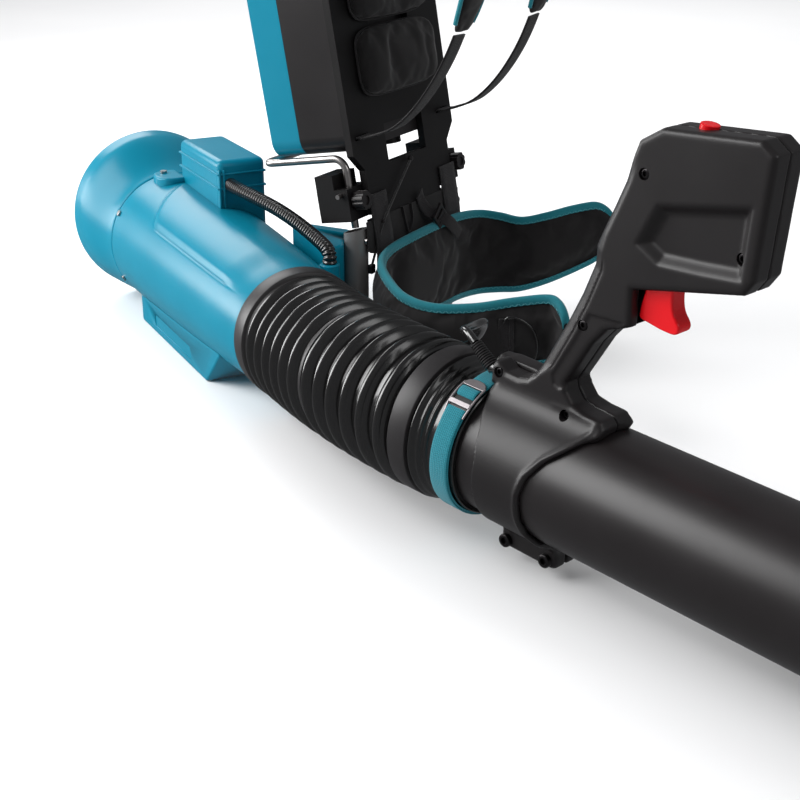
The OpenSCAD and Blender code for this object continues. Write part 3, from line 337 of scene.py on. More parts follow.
def bevelled(piece, width, segments=3, angle=30):
    """Rounds the piece's edges by a width in millimetres."""
    edge = piece.modifiers.new("edge", "BEVEL")
    edge.width, edge.segments, edge.limit_method = width * MM, segments, "ANGLE"
    edge.angle_limit = math.radians(angle)
    even = piece.modifiers.new("even", "WEIGHTED_NORMAL")
    even.keep_sharp = True
    settle(piece)
    return piece


def cut(piece, cutter):
    """Takes the cutter's space out of the piece."""
    tool = piece.modifiers.new("cut", "BOOLEAN")
    tool.object, tool.operation, tool.solver = cutter, "DIFFERENCE", "EXACT"
    settle(piece)
    bpy.data.objects.remove(cutter)
    return piece


def loft(rings, wrap=False, cap=True):
    """Points and faces over rings of equal count; wrap joins the last ring to the first."""
    rings = np.asarray(rings, float)
    m, n = rings.shape[:2]
    i, j = np.meshgrid(np.arange(m if wrap else m - 1), np.arange(n), indexing="ij")
    k, l = (i + 1) % m, (j + 1) % n
    faces = np.stack([i * n + j, i * n + l, k * n + l, k * n + j], -1).reshape(-1, 4).tolist()
    if cap and not wrap:
        faces += [list(range(n))[::-1], list(range((m - 1) * n, m * n))]
    return rings.reshape(-1, 3), faces


def turned(outline, count=96, wrap=True, centre=(0, 0)):
    """Rings round z through [r, z] points, as a closed skin."""
    a = np.linspace(0, 2 * np.pi, count, endpoint=False)
    return loft([np.stack([centre[0] + r * np.cos(a), centre[1] + r * np.sin(a), np.full(count, z)], 1)
                 for r, z in outline], wrap, not wrap)


def side_view(p, h):
    """A [z, y] outline seen from the side, its heights along x."""
    return h, p[1], p[0]


def plan(p, h):
    """A [z, x] outline seen from above, its heights along y."""
    return p[1], h, p[0]


def front_view(p, h):
    """An [x, z] outline seen from the front, its heights along y."""
    return p[0], h, p[1]


def floor_view(p, h):
    """An [x, y] outline seen from above in the row frame, its heights along z."""
    return p[0], p[1], h


def slab(outline, low, high, turn=side_view):
    """A plate with an outline of 2-D points between two heights; turn says where they go."""
    n = len(outline)
    points = [turn(p, h) for h in (low, high) for p in outline]
    sides = [[k, (k + 1) % n, n + (k + 1) % n, n + k] for k in range(n)]
    return points, [list(range(n))[::-1], list(range(n, 2 * n))] + sides


def gathered(parts):
    """Points and faces of several forms as one."""
    points, faces = [], []
    for some, sides in parts:
        faces += [[v + len(points) for v in f] for f in sides]
        points += list(some)
    return points, faces


def outward(piece):
    """Turns every face of a closed piece outwards."""
    shape = bmesh.new()
    shape.from_mesh(piece.data)
    bmesh.ops.recalc_face_normals(shape, faces=shape.faces)
    shape.to_mesh(piece.data)
    shape.free()
    return piece


def cutter_of(points, faces, space):
    """A hidden piece to cut others by."""
    data = bpy.data.meshes.new("cutter")
    data.from_pydata([tuple(p) for p in points], [], faces)
    data.transform(space)
    return outward(placed("cutter", data))


def lathe(name, outline, count, paint, body, space, replaced=(), crease=32, centre=(0, 0)):
    """A closed piece turned round its frame's z."""
    return outward(mesh_piece(name, *turned(outline, count, centre=centre), paint, body, space, replaced,
                              crease))


def plate(name, outline, low, high, turn, paint, body, space, edge, replaced=()):
    """A slab with its edges rounded; edge holds what bevelled takes."""
    return bevelled(mesh_piece(name, *slab(outline, low, high, turn), paint, body, space, replaced), *edge)


def step_up(x, low, high):
    """0 below low, 1 above high, smooth between."""
    t = np.clip((np.asarray(x, float) - low) / (high - low), 0, 1)
    return t * t * (3 - 2 * t)


# ---------------------------------------------------------------- barrel
# The fan barrel is one teal moulding with an air duct inside. A shallow raised panel runs along
# its outer upper side, with a groove round it; the spigot at the front goes into the collar.
barrel_len, front_r, rear_r = 385, 64, 80
panel_low, panel_rise = math.radians(142), 2.0
panel_groove = 0.9


def barrel_radius(z):
    return front_r + (rear_r - front_r) * np.power(np.maximum(-np.asarray(z, float), 0) / barrel_len, 0.62)


def panel_height(angle, z):
    """How far the skin stands out at an angle and a place along the barrel."""
    low_side = (panel_low - angle) * 74
    corner = (z + 276) * 0.94 + (np.degrees(angle) - 141) * -1.25 * 0.9
    inside = -np.log(np.exp(-np.clip(low_side, -60, 60) / 4) + np.exp(-np.clip(corner, -60, 60) / 4)) * 4
    fade = step_up(-z, 26, 70) * step_up(np.degrees(angle), 84, 100)
    return fade * (panel_rise * step_up(inside, 0, 9) - panel_groove * np.exp(-((inside + 0.6) / 1.3) ** 2))


angle = np.concatenate([np.linspace(np.radians(84), np.radians(158), 110, endpoint=False),
                        np.linspace(np.radians(158), np.radians(444), 130, endpoint=False)])
skin_z = np.concatenate([np.linspace(0, -24, 12), np.linspace(-26, -382, 190), [-383.2, -384, -384.6, -385]])
rings = []
for z in skin_z:
    rear_round = 1.6 * step_up(-z, 381, 385) ** 2
    r = barrel_radius(z) + panel_height(angle, z) - rear_round
    rings.append(np.stack([r * np.cos(angle), r * np.sin(angle), np.full(len(angle), z)], 1))
for r, z in ((74, -385), (72, -384), (72, -200), (57, -8), (57, 25), (60, 25.5), (60, 0.5), (60.5, 0)):
    rings.append(np.stack([r * np.cos(angle), r * np.sin(angle), np.full(len(angle), z)], 1))
barrel = outward(mesh_piece("barrel_shell", *loft(rings, wrap=True), teal, "pack", BARREL, ["fan_barrel"]))

# ---------------------------------------------------------------- intake bell
# A second teal moulding is pushed on behind the barrel's seam and widens to the intake. It is
# eccentric, higher than the barrel, so that its rim clears the ground; the rim is rolled over.
bell_len, bell_r, bell_gap, wall = 90, 101, 2, 3
bell_rise = bell_r + bell_gap - barrel_origin.z


def bell_ring(along, inset):
    """A ring of the bell, along from 0 at the seam to 1 at the rim."""
    spread = step_up(along, 0.02, 0.8) * 0.55 + along * 0.45
    r = rear_r + (bell_r - rear_r) * spread - inset
    up = bell_rise * min(1, 1.15 * spread)
    a = np.linspace(0, 2 * np.pi, 144, endpoint=False)
    return np.stack([r * np.cos(a), up + r * np.sin(a),
                     np.full(144, -barrel_len - 0.3 - along * (bell_len - 0.6))], 1)


bell_outer = [(0.0, 1.0), (0.008, 0.35), (0.02, 0.0)] + [(t, 0.0) for t in np.linspace(0.04, 0.92, 30)]
bell_rim = [(0.95, 0.1), (0.975, 0.5), (0.99, 1.1), (1.0, 2.0), (0.99, 2.8), (0.96, wall)]
bell_inner = [(t, wall) for t in np.linspace(0.92, 0.0, 24)]
outward(mesh_piece("intake_bell_shell",
                   *loft([bell_ring(t, i) for t, i in bell_outer + bell_rim + bell_inner], True), teal, "pack",
                   BARREL, ["intake_bell"]))

# ---------------------------------------------------------------- foot
# A hollow teal block under the barrel that it is set down on. Its ends and edges are rounded, its
# front slopes back, and a shallow bare field lies in its outer side.
foot_half, foot_rear, foot_front = 57, -352, -120


def upright(across, along):
    """From a frame with z up to a place on the barrel's plan."""
    turn = Matrix.Rotation(-math.pi / 2, 4, "X")
    return BARREL @ Matrix.Translation((across, 0, along)) @ turn @ ROW.inverted()


def barrel_cutter(gap=0.3):
    """The space that the barrel fills, as a hidden piece to cut others by."""
    stations = np.linspace(-barrel_len - 6, 3, 40)
    outline = ([(0.01, stations[0])] + [(float(barrel_radius(z)) + gap, z) for z in stations]
               + [(0.01, stations[-1])])
    return cutter_of(*turned(outline, 128, wrap=False), BARREL)


foot_side = [(foot_rear, -20), (foot_rear, -barrel_origin.z + 3), (foot_rear + 3, -barrel_origin.z + 0.2),
             (foot_front - 4, -barrel_origin.z + 0.2), (foot_front, -barrel_origin.z + 4),
             (foot_front + 42, -44), (foot_front + 42, -20)]
foot = plate("foot_shell", foot_side, -foot_half, foot_half, side_view, teal, "pack", BARREL, (3.0, 4),
             ["foot_block"])
field_side = [(-300, -79), (-300, -65), (-176, -65), (-170, -79)]
field = mesh_piece("cutter_field", *slab(field_side, -foot_half - 4, -foot_half + 0.7), teal, "", BARREL)
cut(foot, field)
cut(foot, barrel_cutter())

# ---------------------------------------------------------------- control box
# The terminal box on top of the barrel: a rounded teal lid over a base with a thin ledge, ribs at
# its front corner and a rounded lug behind that takes the screw into the barrel.
box_x, box_w, box_rear, box_len, box_top = 1, 56, -350, 132, 128
box_plan = [(box_rear, box_x), (box_rear, box_x + box_w), (box_rear + box_len, box_x + box_w),
            (box_rear + box_len, box_x)]


box_body = plate("control_box_body", box_plan, 40, box_top, plan, teal, "pack", BARREL, (7, 5), ["control_box"])
cut(box_body, barrel_cutter())
ledge_plan = [(box_rear, box_x - 1.6), (box_rear, box_x + box_w), (box_rear + box_len + 1.4, box_x + box_w),
              (box_rear + box_len + 1.4, box_x - 1.6)]
for name, low in (("box_ledge", 96), ("box_seam", 112)):
    ledge = plate(name, ledge_plan, low, low + 2.4, plan, teal, "pack", BARREL, (0.9, 3))
lug_plan = [(-338, 4), (-338, -14), (-341, -21), (-348, -26), (-358, -27.5), (-369, -27), (-377, -24),
            (-382, -17), (-384, -8), (-384, 4)]
lug = plate("box_lug", lug_plan, 56, 84.8, plan, teal, "pack", BARREL, (2.6, 4))
cut(lug, barrel_cutter())
for k, rib_x in enumerate((1.0, 6.0)):
    rib = [(box_rear + box_len - 6, rib_x), (box_rear + box_len - 6, rib_x + 2.4),
           (box_rear + box_len + 2.2, rib_x + 2.4), (box_rear + box_len + 2.2, rib_x)]
    piece = plate(f"box_rib_{k}", rib, 60, 118, plan, teal, "pack", BARREL, (0.8, 3))
    cut(piece, barrel_cutter())

# ---------------------------------------------------------------- conduit
# The lead inside runs in a black corrugated polyamide conduit from the box's gland, along the barrel
# and square down into a small teal boss beside the collar.
conduit_r, gland_at, boss_at, boss_top = 7.5, (15, 101), (51, -31), 56
conduit_from = box_rear + box_len - 2
conduit_route = [(*gland_at, conduit_from), (*gland_at, conduit_from + 14), (18, 100, -184), (25, 97, -157),
                 (34, 92, -127), (42, 85, -94), (48, 77, -64), (boss_at[0], 70, boss_at[1] - 7),
                 (boss_at[0], 63, boss_at[1]), (boss_at[0], boss_top + 0.2, boss_at[1])]


def curve_at(points, t):
    """A point at t, from 0 to 1, on the smooth open curve through the points."""
    p = np.asarray(points, float)
    last = len(p) - 1
    u = np.clip(np.asarray(t, float), 0, 1) * last
    i = np.minimum(np.floor(u).astype(int), last - 1)
    f = (u - i)[..., None]
    a, b, c, d = p[np.maximum(i - 1, 0)], p[i], p[i + 1], p[np.minimum(i + 2, last)]
    return 0.5 * (2 * b + (c - a) * f + (2 * a - 5 * b + 4 * c - d) * f ** 2 + (3 * b - a - 3 * c + d) * f ** 3)


def unit(v):
    return v / np.maximum(np.linalg.norm(v, axis=-1, keepdims=True), 1e-12)


def even_curve(points, count):
    """Points at even distances along the curve."""
    fine = curve_at(points, np.linspace(0, 1, 1200))
    run = np.concatenate([[0], np.cumsum(np.linalg.norm(np.diff(fine, axis=0), axis=1))])
    at = np.linspace(0, run[-1], count)
    return np.stack([np.interp(at, run, fine[:, k]) for k in range(3)], 1), run[-1]


def tube_rings(line, radii, count=20, up=(0, 0, 1)):
    """Rings round a line of points, with one radius or one for each, without twist."""
    way = unit(np.gradient(line, axis=0))
    side = [unit(np.cross(way[0], np.asarray(up, float)))]
    for ahead in way[1:]:
        side.append(unit(side[-1] - ahead * (side[-1] @ ahead)))
    side = np.array(side)
    over = np.cross(side, way)
    a = np.linspace(0, 2 * np.pi, count, endpoint=False)
    ring = np.cos(a)[None, :, None] * side[:, None] + np.sin(a)[None, :, None] * over[:, None]
    return line[:, None] + np.broadcast_to(np.asarray(radii, float), len(line))[:, None, None] * ring


ribs, per_rib = 54, 8
line, conduit_len = even_curve(conduit_route, ribs * per_rib + 1)
phase = np.arange(len(line)) / per_rib % 1
rib_shape = step_up(phase, 0.1, 0.3) * (1 - step_up(phase, 0.65, 0.85))
conduit_skin = tube_rings(line, conduit_r - 1.4 + 1.4 * rib_shape, 24, (1, 0, 0.2))
outward(mesh_piece("conduit_tube", *loft(conduit_skin), rubber, "pack", BARREL, ["conduit"], 60))

rounded_boss = [(3, boss_top - 6), (6, boss_top - 6), (6, boss_top - 0.8), (6.8, boss_top), (9.3, boss_top),
                (10.5, boss_top - 1.2), (10.5, 30), (12, 24), (12, 12), (3, 12)]
boss = lathe("conduit_boss_cup", rounded_boss, 64, teal, "", ROW)
boss.data.transform(upright(*boss_at))
cut(boss, barrel_cutter())
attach(boss, "pack")
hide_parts("conduit_boss")

# ---------------------------------------------------------------- bracket arm
# A teal arm, cast with the barrel's side plate, reaches round the rear half of the frame's right
# leg and holds the blower to it.
leg_x, leg_r = 99, 13
leg_at = ((-barrel_origin.x - leg_x) * math.cos(barrel_yaw), -(-barrel_origin.x - leg_x) * math.sin(barrel_yaw))
arm_plan = [(-150, 59), (-140, 78), (-104, leg_at[0] + 9), (-84, leg_at[0] + 16),
            (leg_at[1] - 2, leg_at[0] + 16), (leg_at[1] - 2, leg_at[0] - 14), (-50, 76), (-44, 66), (-44, 59)]
arm = plate("bracket_arm_casting", arm_plan, 8, 68, plan, teal, "pack", BARREL, (3, 4), ["bracket_arm"])
leg_outline = [(leg_r + 0.3, -10), (leg_r + 0.3, 90), (0.01, 90), (0.01, -10)]
leg_cutter = lathe("cutter_leg", leg_outline, 64, teal, "", ROW)
leg_cutter.data.transform(upright(*leg_at))
cut(arm, leg_cutter)
cut(arm, barrel_cutter())

# ---------------------------------------------------------------- hose
# A blow moulded black hose, glossy, with twelve ribs. A satin rubber collar grips the barrel's spigot
# and a cuff the tube's end. A thin band in its middle valley parts its two halves.
collar_r, cuff_r, rib_depth, bore_r = 68.3, 65.5, 6.4, 56.5
half_ribs, rings_per_rib, hose_sides = 6, 14, 120


def hose_at(t):
    t = np.asarray(t, float)[..., None]
    a, b = t ** 3, t ** 2
    return ((2 * a - 3 * b + 1) * np.array(hose_start) + (a - 2 * b + t) * hose_len * np.array(barrel_fwd)
            + (3 * b - 2 * a) * np.array(hose_end) + (a - b) * hose_len * np.array(tube_fwd))


def hose_rings(places, radii):
    places = np.asarray(places, float)
    way = unit(hose_at(np.clip(places + 0.003, 0, 1)) - hose_at(np.clip(places - 0.003, 0, 1)))
    side = unit(np.cross(way, (0, 0, 1)))
    over = np.cross(side, way)
    a = np.linspace(0, 2 * np.pi, hose_sides, endpoint=False)
    ring = np.cos(a)[None, :, None] * side[:, None] + np.sin(a)[None, :, None] * over[:, None]
    return hose_at(places)[:, None] + np.asarray(radii, float)[:, None, None] * ring


def ridge(x, centre, reach):
    return np.cos(np.pi / 2 * np.clip((x - centre) / reach, -1, 1)) ** 2


def rib_height(phase):
    """One rib: a broad rounded crest and a thin one before it."""
    broad, thin = ridge(phase, 0.37, 0.27) ** 0.6, 0.93 * ridge(phase, 0.72, 0.15) ** 0.8
    return 1 - (1 - broad) * (1 - thin)


def hose_half(start, end, flat_start, flat_end):
    steps = np.linspace(0, half_ribs, half_ribs * rings_per_rib + 1)
    places = start + flat_start + (end - flat_end - start - flat_start) * steps / half_ribs
    peak = collar_r - 0.8 + (cuff_r + 1 - collar_r + 0.8) * places
    radii = peak - rib_depth * (1 - rib_height(steps % 1))
    outer = [hose_rings(places, radii)]
    if flat_start:
        outer.insert(0, hose_rings([start], radii[:1]))
    if flat_end:
        outer.append(hose_rings([end], radii[-1:]))
    inner = hose_rings(np.linspace(end, start, 24), np.full(24, bore_r))
    return loft(np.concatenate(outer + [inner]), wrap=True)


gap, tie_flat = 0.0008, 0.014
for name, ends, flats, bodies in (("bellows_rear", (gap, 0.5 - gap), (0, tie_flat), ("pack", "hose_mid")),
                                  ("bellows_front", (0.5 + gap, 1 - gap), (tie_flat, 0), ("hose_mid", "wand"))):
    half = outward(mesh_piece(name + "_skin", *hose_half(*ends, *flats), rubber, "", ROW, [name], 50))
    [tuple(MM * hose_at(t)) for t in (ends[0] + 0.04, ends[1] - 0.04)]
    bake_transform(half)

collar_outline = [(60.1, 0.4), (66.6, 0.4), (67.9, 1.0), (68.3, 2.4), (68.3, 19.6), (68.0, 21.2), (67.0, 22.2),
                  (64.6, 22.8), (63.8, 24.0), (63.0, 25.6), (60.1, 25.6)]
lathe("collar_ring", collar_outline, 128, satin_rubber_and_painted_sheen, "pack", BARREL, ["hose_collar"])
band_outline = [(55.2, -44.6), (64.9, -44.6), (65.5, -43.8), (65.5, -25.4), (65.1, -24.6), (64.2, -24.3),
                (55.2, -24.3)]
lathe("cuff_band", band_outline, 128, satin_rubber_and_painted_sheen, "wand", TUBE, ["hose_cuff"])
cuff_z = np.linspace(-24.1, -0.9, 60)
cuff_curve = (64.0 - 4.6 * step_up(cuff_z, -24, -1) - 2.6 + 3.2 * ridge(cuff_z, -20.2, 3.4) ** 0.7
              + 2.9 * ridge(cuff_z, -13.2, 2.8) ** 0.7 + 2.2 * ridge(cuff_z, -6.8, 2.6) ** 0.7)
cuff_outline = ([(55.2, -24.1)] + list(zip(cuff_curve, cuff_z))
                + [(59.4, -0.4), (59.4, 25.4), (58.6, 26), (55.2, 26)])
lathe("cuff_ribs", cuff_outline, 128, rubber, "wand", TUBE)
tie_outline = [(60.9, -2.4), (63.0, -2.4), (63.3, -1.8), (63.3, 1.8), (63.0, 2.4), (60.9, 2.4)]
mid_way = Vector(unit(hose_at(0.503) - hose_at(0.497)))
mid_side = UP.cross(mid_way).normalized()
TIE = axes(Vector(hose_at(0.5)), mid_side, mid_way.cross(mid_side), mid_way)
cable_side, cable_up, cable_r = 78, 20, 3.6
tie_band = lathe("tie_band", tie_outline, 128, satin_rubber_and_painted_sheen, "hose_mid", TIE, ["hose_tie"])
eye_rings = [(cable_r + 0.2, -2.5), (cable_r + 1.8, -2.5), (cable_r + 2.4, -1.6), (cable_r + 2.4, 1.6),
             (cable_r + 1.8, 2.5), (cable_r + 0.2, 2.5)]
lathe("tie_eye", eye_rings, 40, satin_rubber_and_painted_sheen, "hose_mid", TIE, centre=(cable_side, cable_up))
tab = [(-2.4, 61.6), (2.4, 61.6), (2.4, cable_side - cable_r - 1), (-2.4, cable_side - cable_r - 1)]
plate("tie_tab", tab, cable_up - 2, cable_up + 2, plan, satin_rubber_and_painted_sheen, "hose_mid", TIE, (0.8,))

# ---------------------------------------------------------------- cuff strap
# A teal polyester webbing strap, doubled back through a plain ladder buckle, draws the cuff tight on
# the tube. The buckle is zinc plated wire and sheet.


def woven(name, slot, base, thread, sheen=0.3, rough=0.85, rib_height=0.0004, fleck=0.25):
    """Woven cloth on a map in metres: warp ribs along u, weft across, with loose fibres and worn tone."""
    paint = Paint(name, slot, Sheen_Weight=sheen, Sheen_Roughness=0.5, Specular_IOR_Level=0.25)
    lay = paint.node("ShaderNodeUVMap", {"uv_map": "lay"})
    split = paint.tree.nodes.new("ShaderNodeSeparateXYZ")
    paint.put(split, {"Vector": lay})
    u, v = Wire(paint, split.outputs[0]), Wire(paint, split.outputs[1])
    turn = math.tau / thread
    warp = paint.wave(v * turn)
    weft = paint.wave(u * turn + paint.wave(v * turn / 2) * 1.5)
    weave = warp * 0.5 + weft * 0.5
    fibres = paint.noise(1400, 3, 0.7)
    worn = paint.noise(26, 4, 0.6)
    shade = weave * 0.5 + fibres * fleck + worn * 0.35
    low = tuple(c * 0.45 for c in base[:3]) + (1,)
    high = tuple(min(1, c * 1.5 + 0.003) for c in base[:3]) + (1,)
    paint.finish(Base_Color=paint.blend(shade, low, high), Roughness=worn * 0.1 + (rough - 0.05),
                 Normal=paint.bump(weave + fibres * 0.5, rib_height))
    return paint


webbing_teal = woven("webbing_teal", "webbing_teal", rgb(16, 100, 112), 0.0019, 0.12, fleck=0.6)
webbing_black = woven("webbing_black", "webbing_black", rgb(24, 22, 24), 0.0017, 0.12)


def lay_out(piece, rings, count):
    """Maps u along the rings and v round them, in metres, for a cloth's weave."""
    rings = np.asarray(rings, float) * MM
    m, n = rings.shape[:2]
    along = np.concatenate([[0], np.cumsum(np.linalg.norm(np.diff(rings.mean(1), axis=0), axis=1))])
    round_ = np.concatenate([[0], np.cumsum(np.linalg.norm(np.diff(rings[m // 2], axis=0), axis=1))])
    layer = piece.data.uv_layers.new(name="lay")
    index = np.zeros(len(piece.data.loops), np.int32)
    piece.data.loops.foreach_get("vertex_index", index)
    u, v = along[np.minimum(index // n, m - 1)], round_[index % n]
    layer.data.foreach_set("uv", np.stack([u, v], 1).astype(np.float32).ravel())


def ribbon(name, line, across, width, thick, paint, body, space=ROW, replaced=(), loop=False):
    """A flat band of webbing along a line of points, its width along the across directions."""
    line = np.asarray(line, float)
    across = unit(np.broadcast_to(np.asarray(across, float), line.shape))
    way = unit(np.gradient(line, axis=0)) if not loop else unit(np.roll(line, -1, 0) - np.roll(line, 1, 0))
    face = unit(np.cross(way, across))
    shape = [(-0.5, -0.2), (-0.485, 0.35), (-0.46, 0.5), (-0.25, 0.5), (0, 0.5), (0.25, 0.5), (0.46, 0.5),
             (0.485, 0.35), (0.5, -0.2), (0.46, -0.5), (0.25, -0.5), (0, -0.5), (-0.25, -0.5), (-0.46, -0.5)]
    width = np.broadcast_to(np.asarray(width, float), (len(line),))
    rings = np.stack([line + across * (a * width)[:, None] + face * b * thick for a, b in shape], 1)
    piece = outward(mesh_piece(name, *loft(rings, wrap=loop), paint, "", space, replaced, 50))
    lay_out(piece, rings, len(shape))
    if body:
        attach(piece, body)
    return piece


strap_r, strap_w, strap_tilt = 60.7, 19.5, 2.2
buckle_at, strap_up = math.radians(126), math.radians(100)


def strap_points(a, lift):
    """Places on the strap's way round the cuff, which lies a little askew: forward on top."""
    wave = 0.3 * np.sin(3 * a) ** 2
    r = strap_r + wave + lift
    return np.stack([r * np.cos(a), r * np.sin(a), 12.6 + strap_tilt * np.cos(a - strap_up)], 1)


a = np.linspace(0, 2 * np.pi, 160, endpoint=False) + buckle_at
ribbon("cuff_strap", strap_points(a, 0), (0, 0, 1.0), strap_w, 1.7, webbing_teal, "wand", TUBE,
       ["hose_strap"], loop=True)
doubled = np.linspace(buckle_at + 0.17, buckle_at + 2.3, 70)
rise = 1.5 + 0.9 * (1 - step_up(doubled, buckle_at + 0.17, buckle_at + 0.5))
ribbon("cuff_strap_doubled", strap_points(doubled, rise), (0, 0, 1.0), strap_w - 0.6, 1.5, webbing_teal,
       "wand", TUBE)
nickel = metal("buckle_nickel", "steel", rgb(150, 144, 146), 0.42, (300, 300, 300), shine=0.85)
BUCKLE = TUBE @ Matrix.Rotation(buckle_at, 4, "Z") @ Matrix.Translation(
    (strap_r + 1.0, 0, 12.6 + strap_tilt * math.cos(buckle_at - strap_up)))
rails, cuff_bend = 11.2, 122


def bent(p, h):
    """Out, round and along the cuff, following its curve."""
    return h - p[0] * p[0] / cuff_bend, p[0], p[1]


def crossbar(name, outline, low, high, paint, edge):
    """A flat part across the strap, bent to the cuff's curve."""
    return plate(name, outline, low, high, bent, paint, "", BUCKLE, (edge, 3))


end_plate = [(-10.6, -rails), (-10.6, rails), (-13.5, rails), (-16.4, 9.2), (-18.4, 5.6), (-19, 0),
             (-18.4, -5.6), (-16.4, -9.2), (-13.5, -rails)]
low_bar = [(4.6, -rails), (9.0, -rails), (9.0, rails), (4.6, rails)]
buckle_parts = [crossbar("end_plate", end_plate, 0.9, 2.7, nickel, 0.6),
                crossbar("low_bar", low_bar, 1.5, 3.3, nickel, 0.6)]
for k, z in enumerate((-rails, rails)):
    rail_line = np.array([(1.9 - y * y / cuff_bend - 0.9 * step_up(y, 6, 17), y,
                           z * (1 - 0.1 * step_up(y, 8, 17)))
                          for y in np.linspace(-13, 17, 16)])
    buckle_parts.append(outward(mesh_piece(f"rail_{k}",
                                           *loft(tube_rings(rail_line, 1.0, 12, (1, 0, 0))), nickel, "",
                                           BUCKLE)))
pad_y = np.linspace(-12, 12, 14)
pad_line = np.stack([0.45 - pad_y ** 2 / cuff_bend, pad_y, np.zeros(14)], 1)
ribbon("buckle_backing", pad_line, (0, 0, 1.0), 2 * rails - 0.8, 0.9, black, "wand", BUCKLE)
turn_over = np.linspace(0, math.pi, 18)
fold = np.stack([0.9 + 2.1 * np.sin(turn_over) - 0.2, -4.9 - 4.4 * np.cos(turn_over), np.zeros(18)], 1)
ribbon("cuff_strap_fold", fold, (0, 0, 1.0), strap_w - 0.8, 1.4, webbing_teal, "wand", BUCKLE)


def as_one(parts, name):
    """Joins pieces of one material into one mesh."""
    bpy.context.view_layer.update()
    shape = bmesh.new()
    for part in parts:
        shape.from_mesh(part.data)
    data = bpy.data.meshes.new(name)
    shape.to_mesh(data)
    shape.free()
    data.materials.append(parts[0].data.materials[0])
    for part in parts:
        bpy.data.objects.remove(part)
    return placed(name, data)


buckle = as_one(buckle_parts, "ladder_buckle")
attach(buckle, "wand")
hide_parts("strap_buckle")

# ---------------------------------------------------------------- blower tube and nozzle
# The straight tube is extruded black plastic; the nozzle is moulded, with a socket that locks on
# the tube by a twist, and tapers to a round mouth.
tube_r, tube_len, nozzle_start = 55, 470, 435
tube_outline = [(52.5, -39.6), (54.6, -39.6), (55, -39.0), (55, 469.2), (54.6, 469.8), (52.5, 469.8)]
lathe("straight_tube", tube_outline, 160, tube_black, "wand", TUBE, ["blower_tube"])
taper_z = np.linspace(tube_len + 12, mouth_z - 22, 40)
taper = 57.2 - (57.2 - mouth_r) * ((taper_z - taper_z[0]) / (taper_z[-1] - taper_z[0])) ** 0.92
nozzle_outline = ([(55.2, nozzle_start + 0.4), (57.4, nozzle_start + 0.4), (58.4, nozzle_start + 1.6),
                   (58.4, 441), (57.6, 443), (57.6, 470), (58.4, 472), (58.4, 478), (57.6, 480)]
                  + [(r - 0.4, z) for r, z in zip(taper, taper_z)]
                  + [(mouth_r, mouth_z - 18), (mouth_r, mouth_z - 1), (mouth_r - 0.8, mouth_z),
                     (mouth_r - 2, mouth_z), (mouth_r - 2.5, mouth_z - 0.8), (mouth_r - 2.5, mouth_z - 20)]
                  + [(r - 3, z) for r, z in zip(taper[::-1], taper_z[::-1])] + [(52.5, 472), (55.2, 471)])
lathe("nozzle_skin", nozzle_outline, 160, tube_black, "nozzle", TUBE, ["nozzle"])
for k in range(3):
    a = math.radians(90 + 120 * k)
    key = [(446, -5), (466, -5), (466, 5), (446, 5)]
    space = TUBE @ Matrix.Rotation(a, 4, "Z")
    plate(f"nozzle_key_{k}", key, 56.6, 59.2, side_view, tube_black, "nozzle", space, (1.0, 3))

# ---------------------------------------------------------------- handle
# Two black glass-filled nylon halves, screwed together round the switch. Their lower ends spread into
# a saddle that hugs the tube and is drawn tight by two bolts through the lugs underneath.
# Outlines are [z, y] points of the tube frame
stalk_rear = [(66, 84), (77, 106), (90.5, 133.5), (102, 160), (111, 186), (111, 200), (118, 217), (124, 232),
              (132, 253), (142, 284)]
stalk_front = [(146, 146), (130, 139), (118, 124), (107, 104), (97, 86)]
handle_outline = ([(10, 64), (12, 79), (26, 83), (44, 82), (56, 79.5)] + stalk_rear
                  + [(160, 296), (238, 304), (250, 296), (247, 210), (240, 199), (150, 177), (152, 149)]
                  + stalk_front
                  + [(99, 79), (106, 71), (119, 67.5), (134, 66.5), (136, 62), (134, 48), (30, 48), (30, 64)])
saddle_outline = [(28, 70), (29, 50), (40, 35), (45, 14), (45, -14), (45, -90), (104, -90), (104, -46),
                  (97, -34), (95, -17), (95, 2), (99, 18), (109, 33), (126, 48), (134, 58), (134, 70)]
outboard_top = [(24, 80.5), (29, 81.5), (38, 75.5), (50, 75), (60, 78)]
inboard_top = [(12, 75), (26, 78.5), (44, 78.5), (58, 78)]
block_top = {-1: [(14, 80.5)] + outboard_top, 1: [(4, 75)] + inboard_top}
grip_inset = [(84, 90), (86, 82), (92, 79), (98, 81), (103, 88), (136, 140), (150, 152), (114, 149), (100, 120)]
block_cut = {-1: [(0, 90), (0, 60), (24, 60)] + outboard_top + [(64, 90)],
             1: [(0, 95), (0, 73)] + inboard_top + [(61, 95)]}
head_recess = [(147, 211), (163, 245), (240, 262), (239, 207), (205, 203), (169, 200)]
trigger_slot = [(136, 146), (136, 204), (186, 204), (186, 130), (153, 130), (153, 146)]
half_width, sleeve_bore, sleeve_outer = 18, 55.15, 58.5
shell_screws = [(109.5, 137.5), (150, 262), (31, 73), (102, 62), (232, 222)]
seats = [14.4, 14.4, 14.4, 14.4, 8.2]


def outline_distance(outline, z, y):
    """Distance to a closed outline of [z, y] points, negative inside."""
    points = np.asarray(outline, float)
    best, inside = np.full(z.shape, 1e9), np.zeros(z.shape, bool)
    for (z0, y0), (z1, y1) in zip(points, np.roll(points, -1, 0)):
        dz, dy = z1 - z0, y1 - y0
        t = np.clip(((z - z0) * dz + (y - y0) * dy) / (dz * dz + dy * dy), 0, 1)
        best = np.minimum(best, np.hypot(z - z0 - t * dz, y - y0 - t * dy))
        if dy:
            inside ^= ((y0 > y) != (y1 > y)) & (z < z0 + (y - y0) * dz / dy)
    return np.where(inside, -best, best)


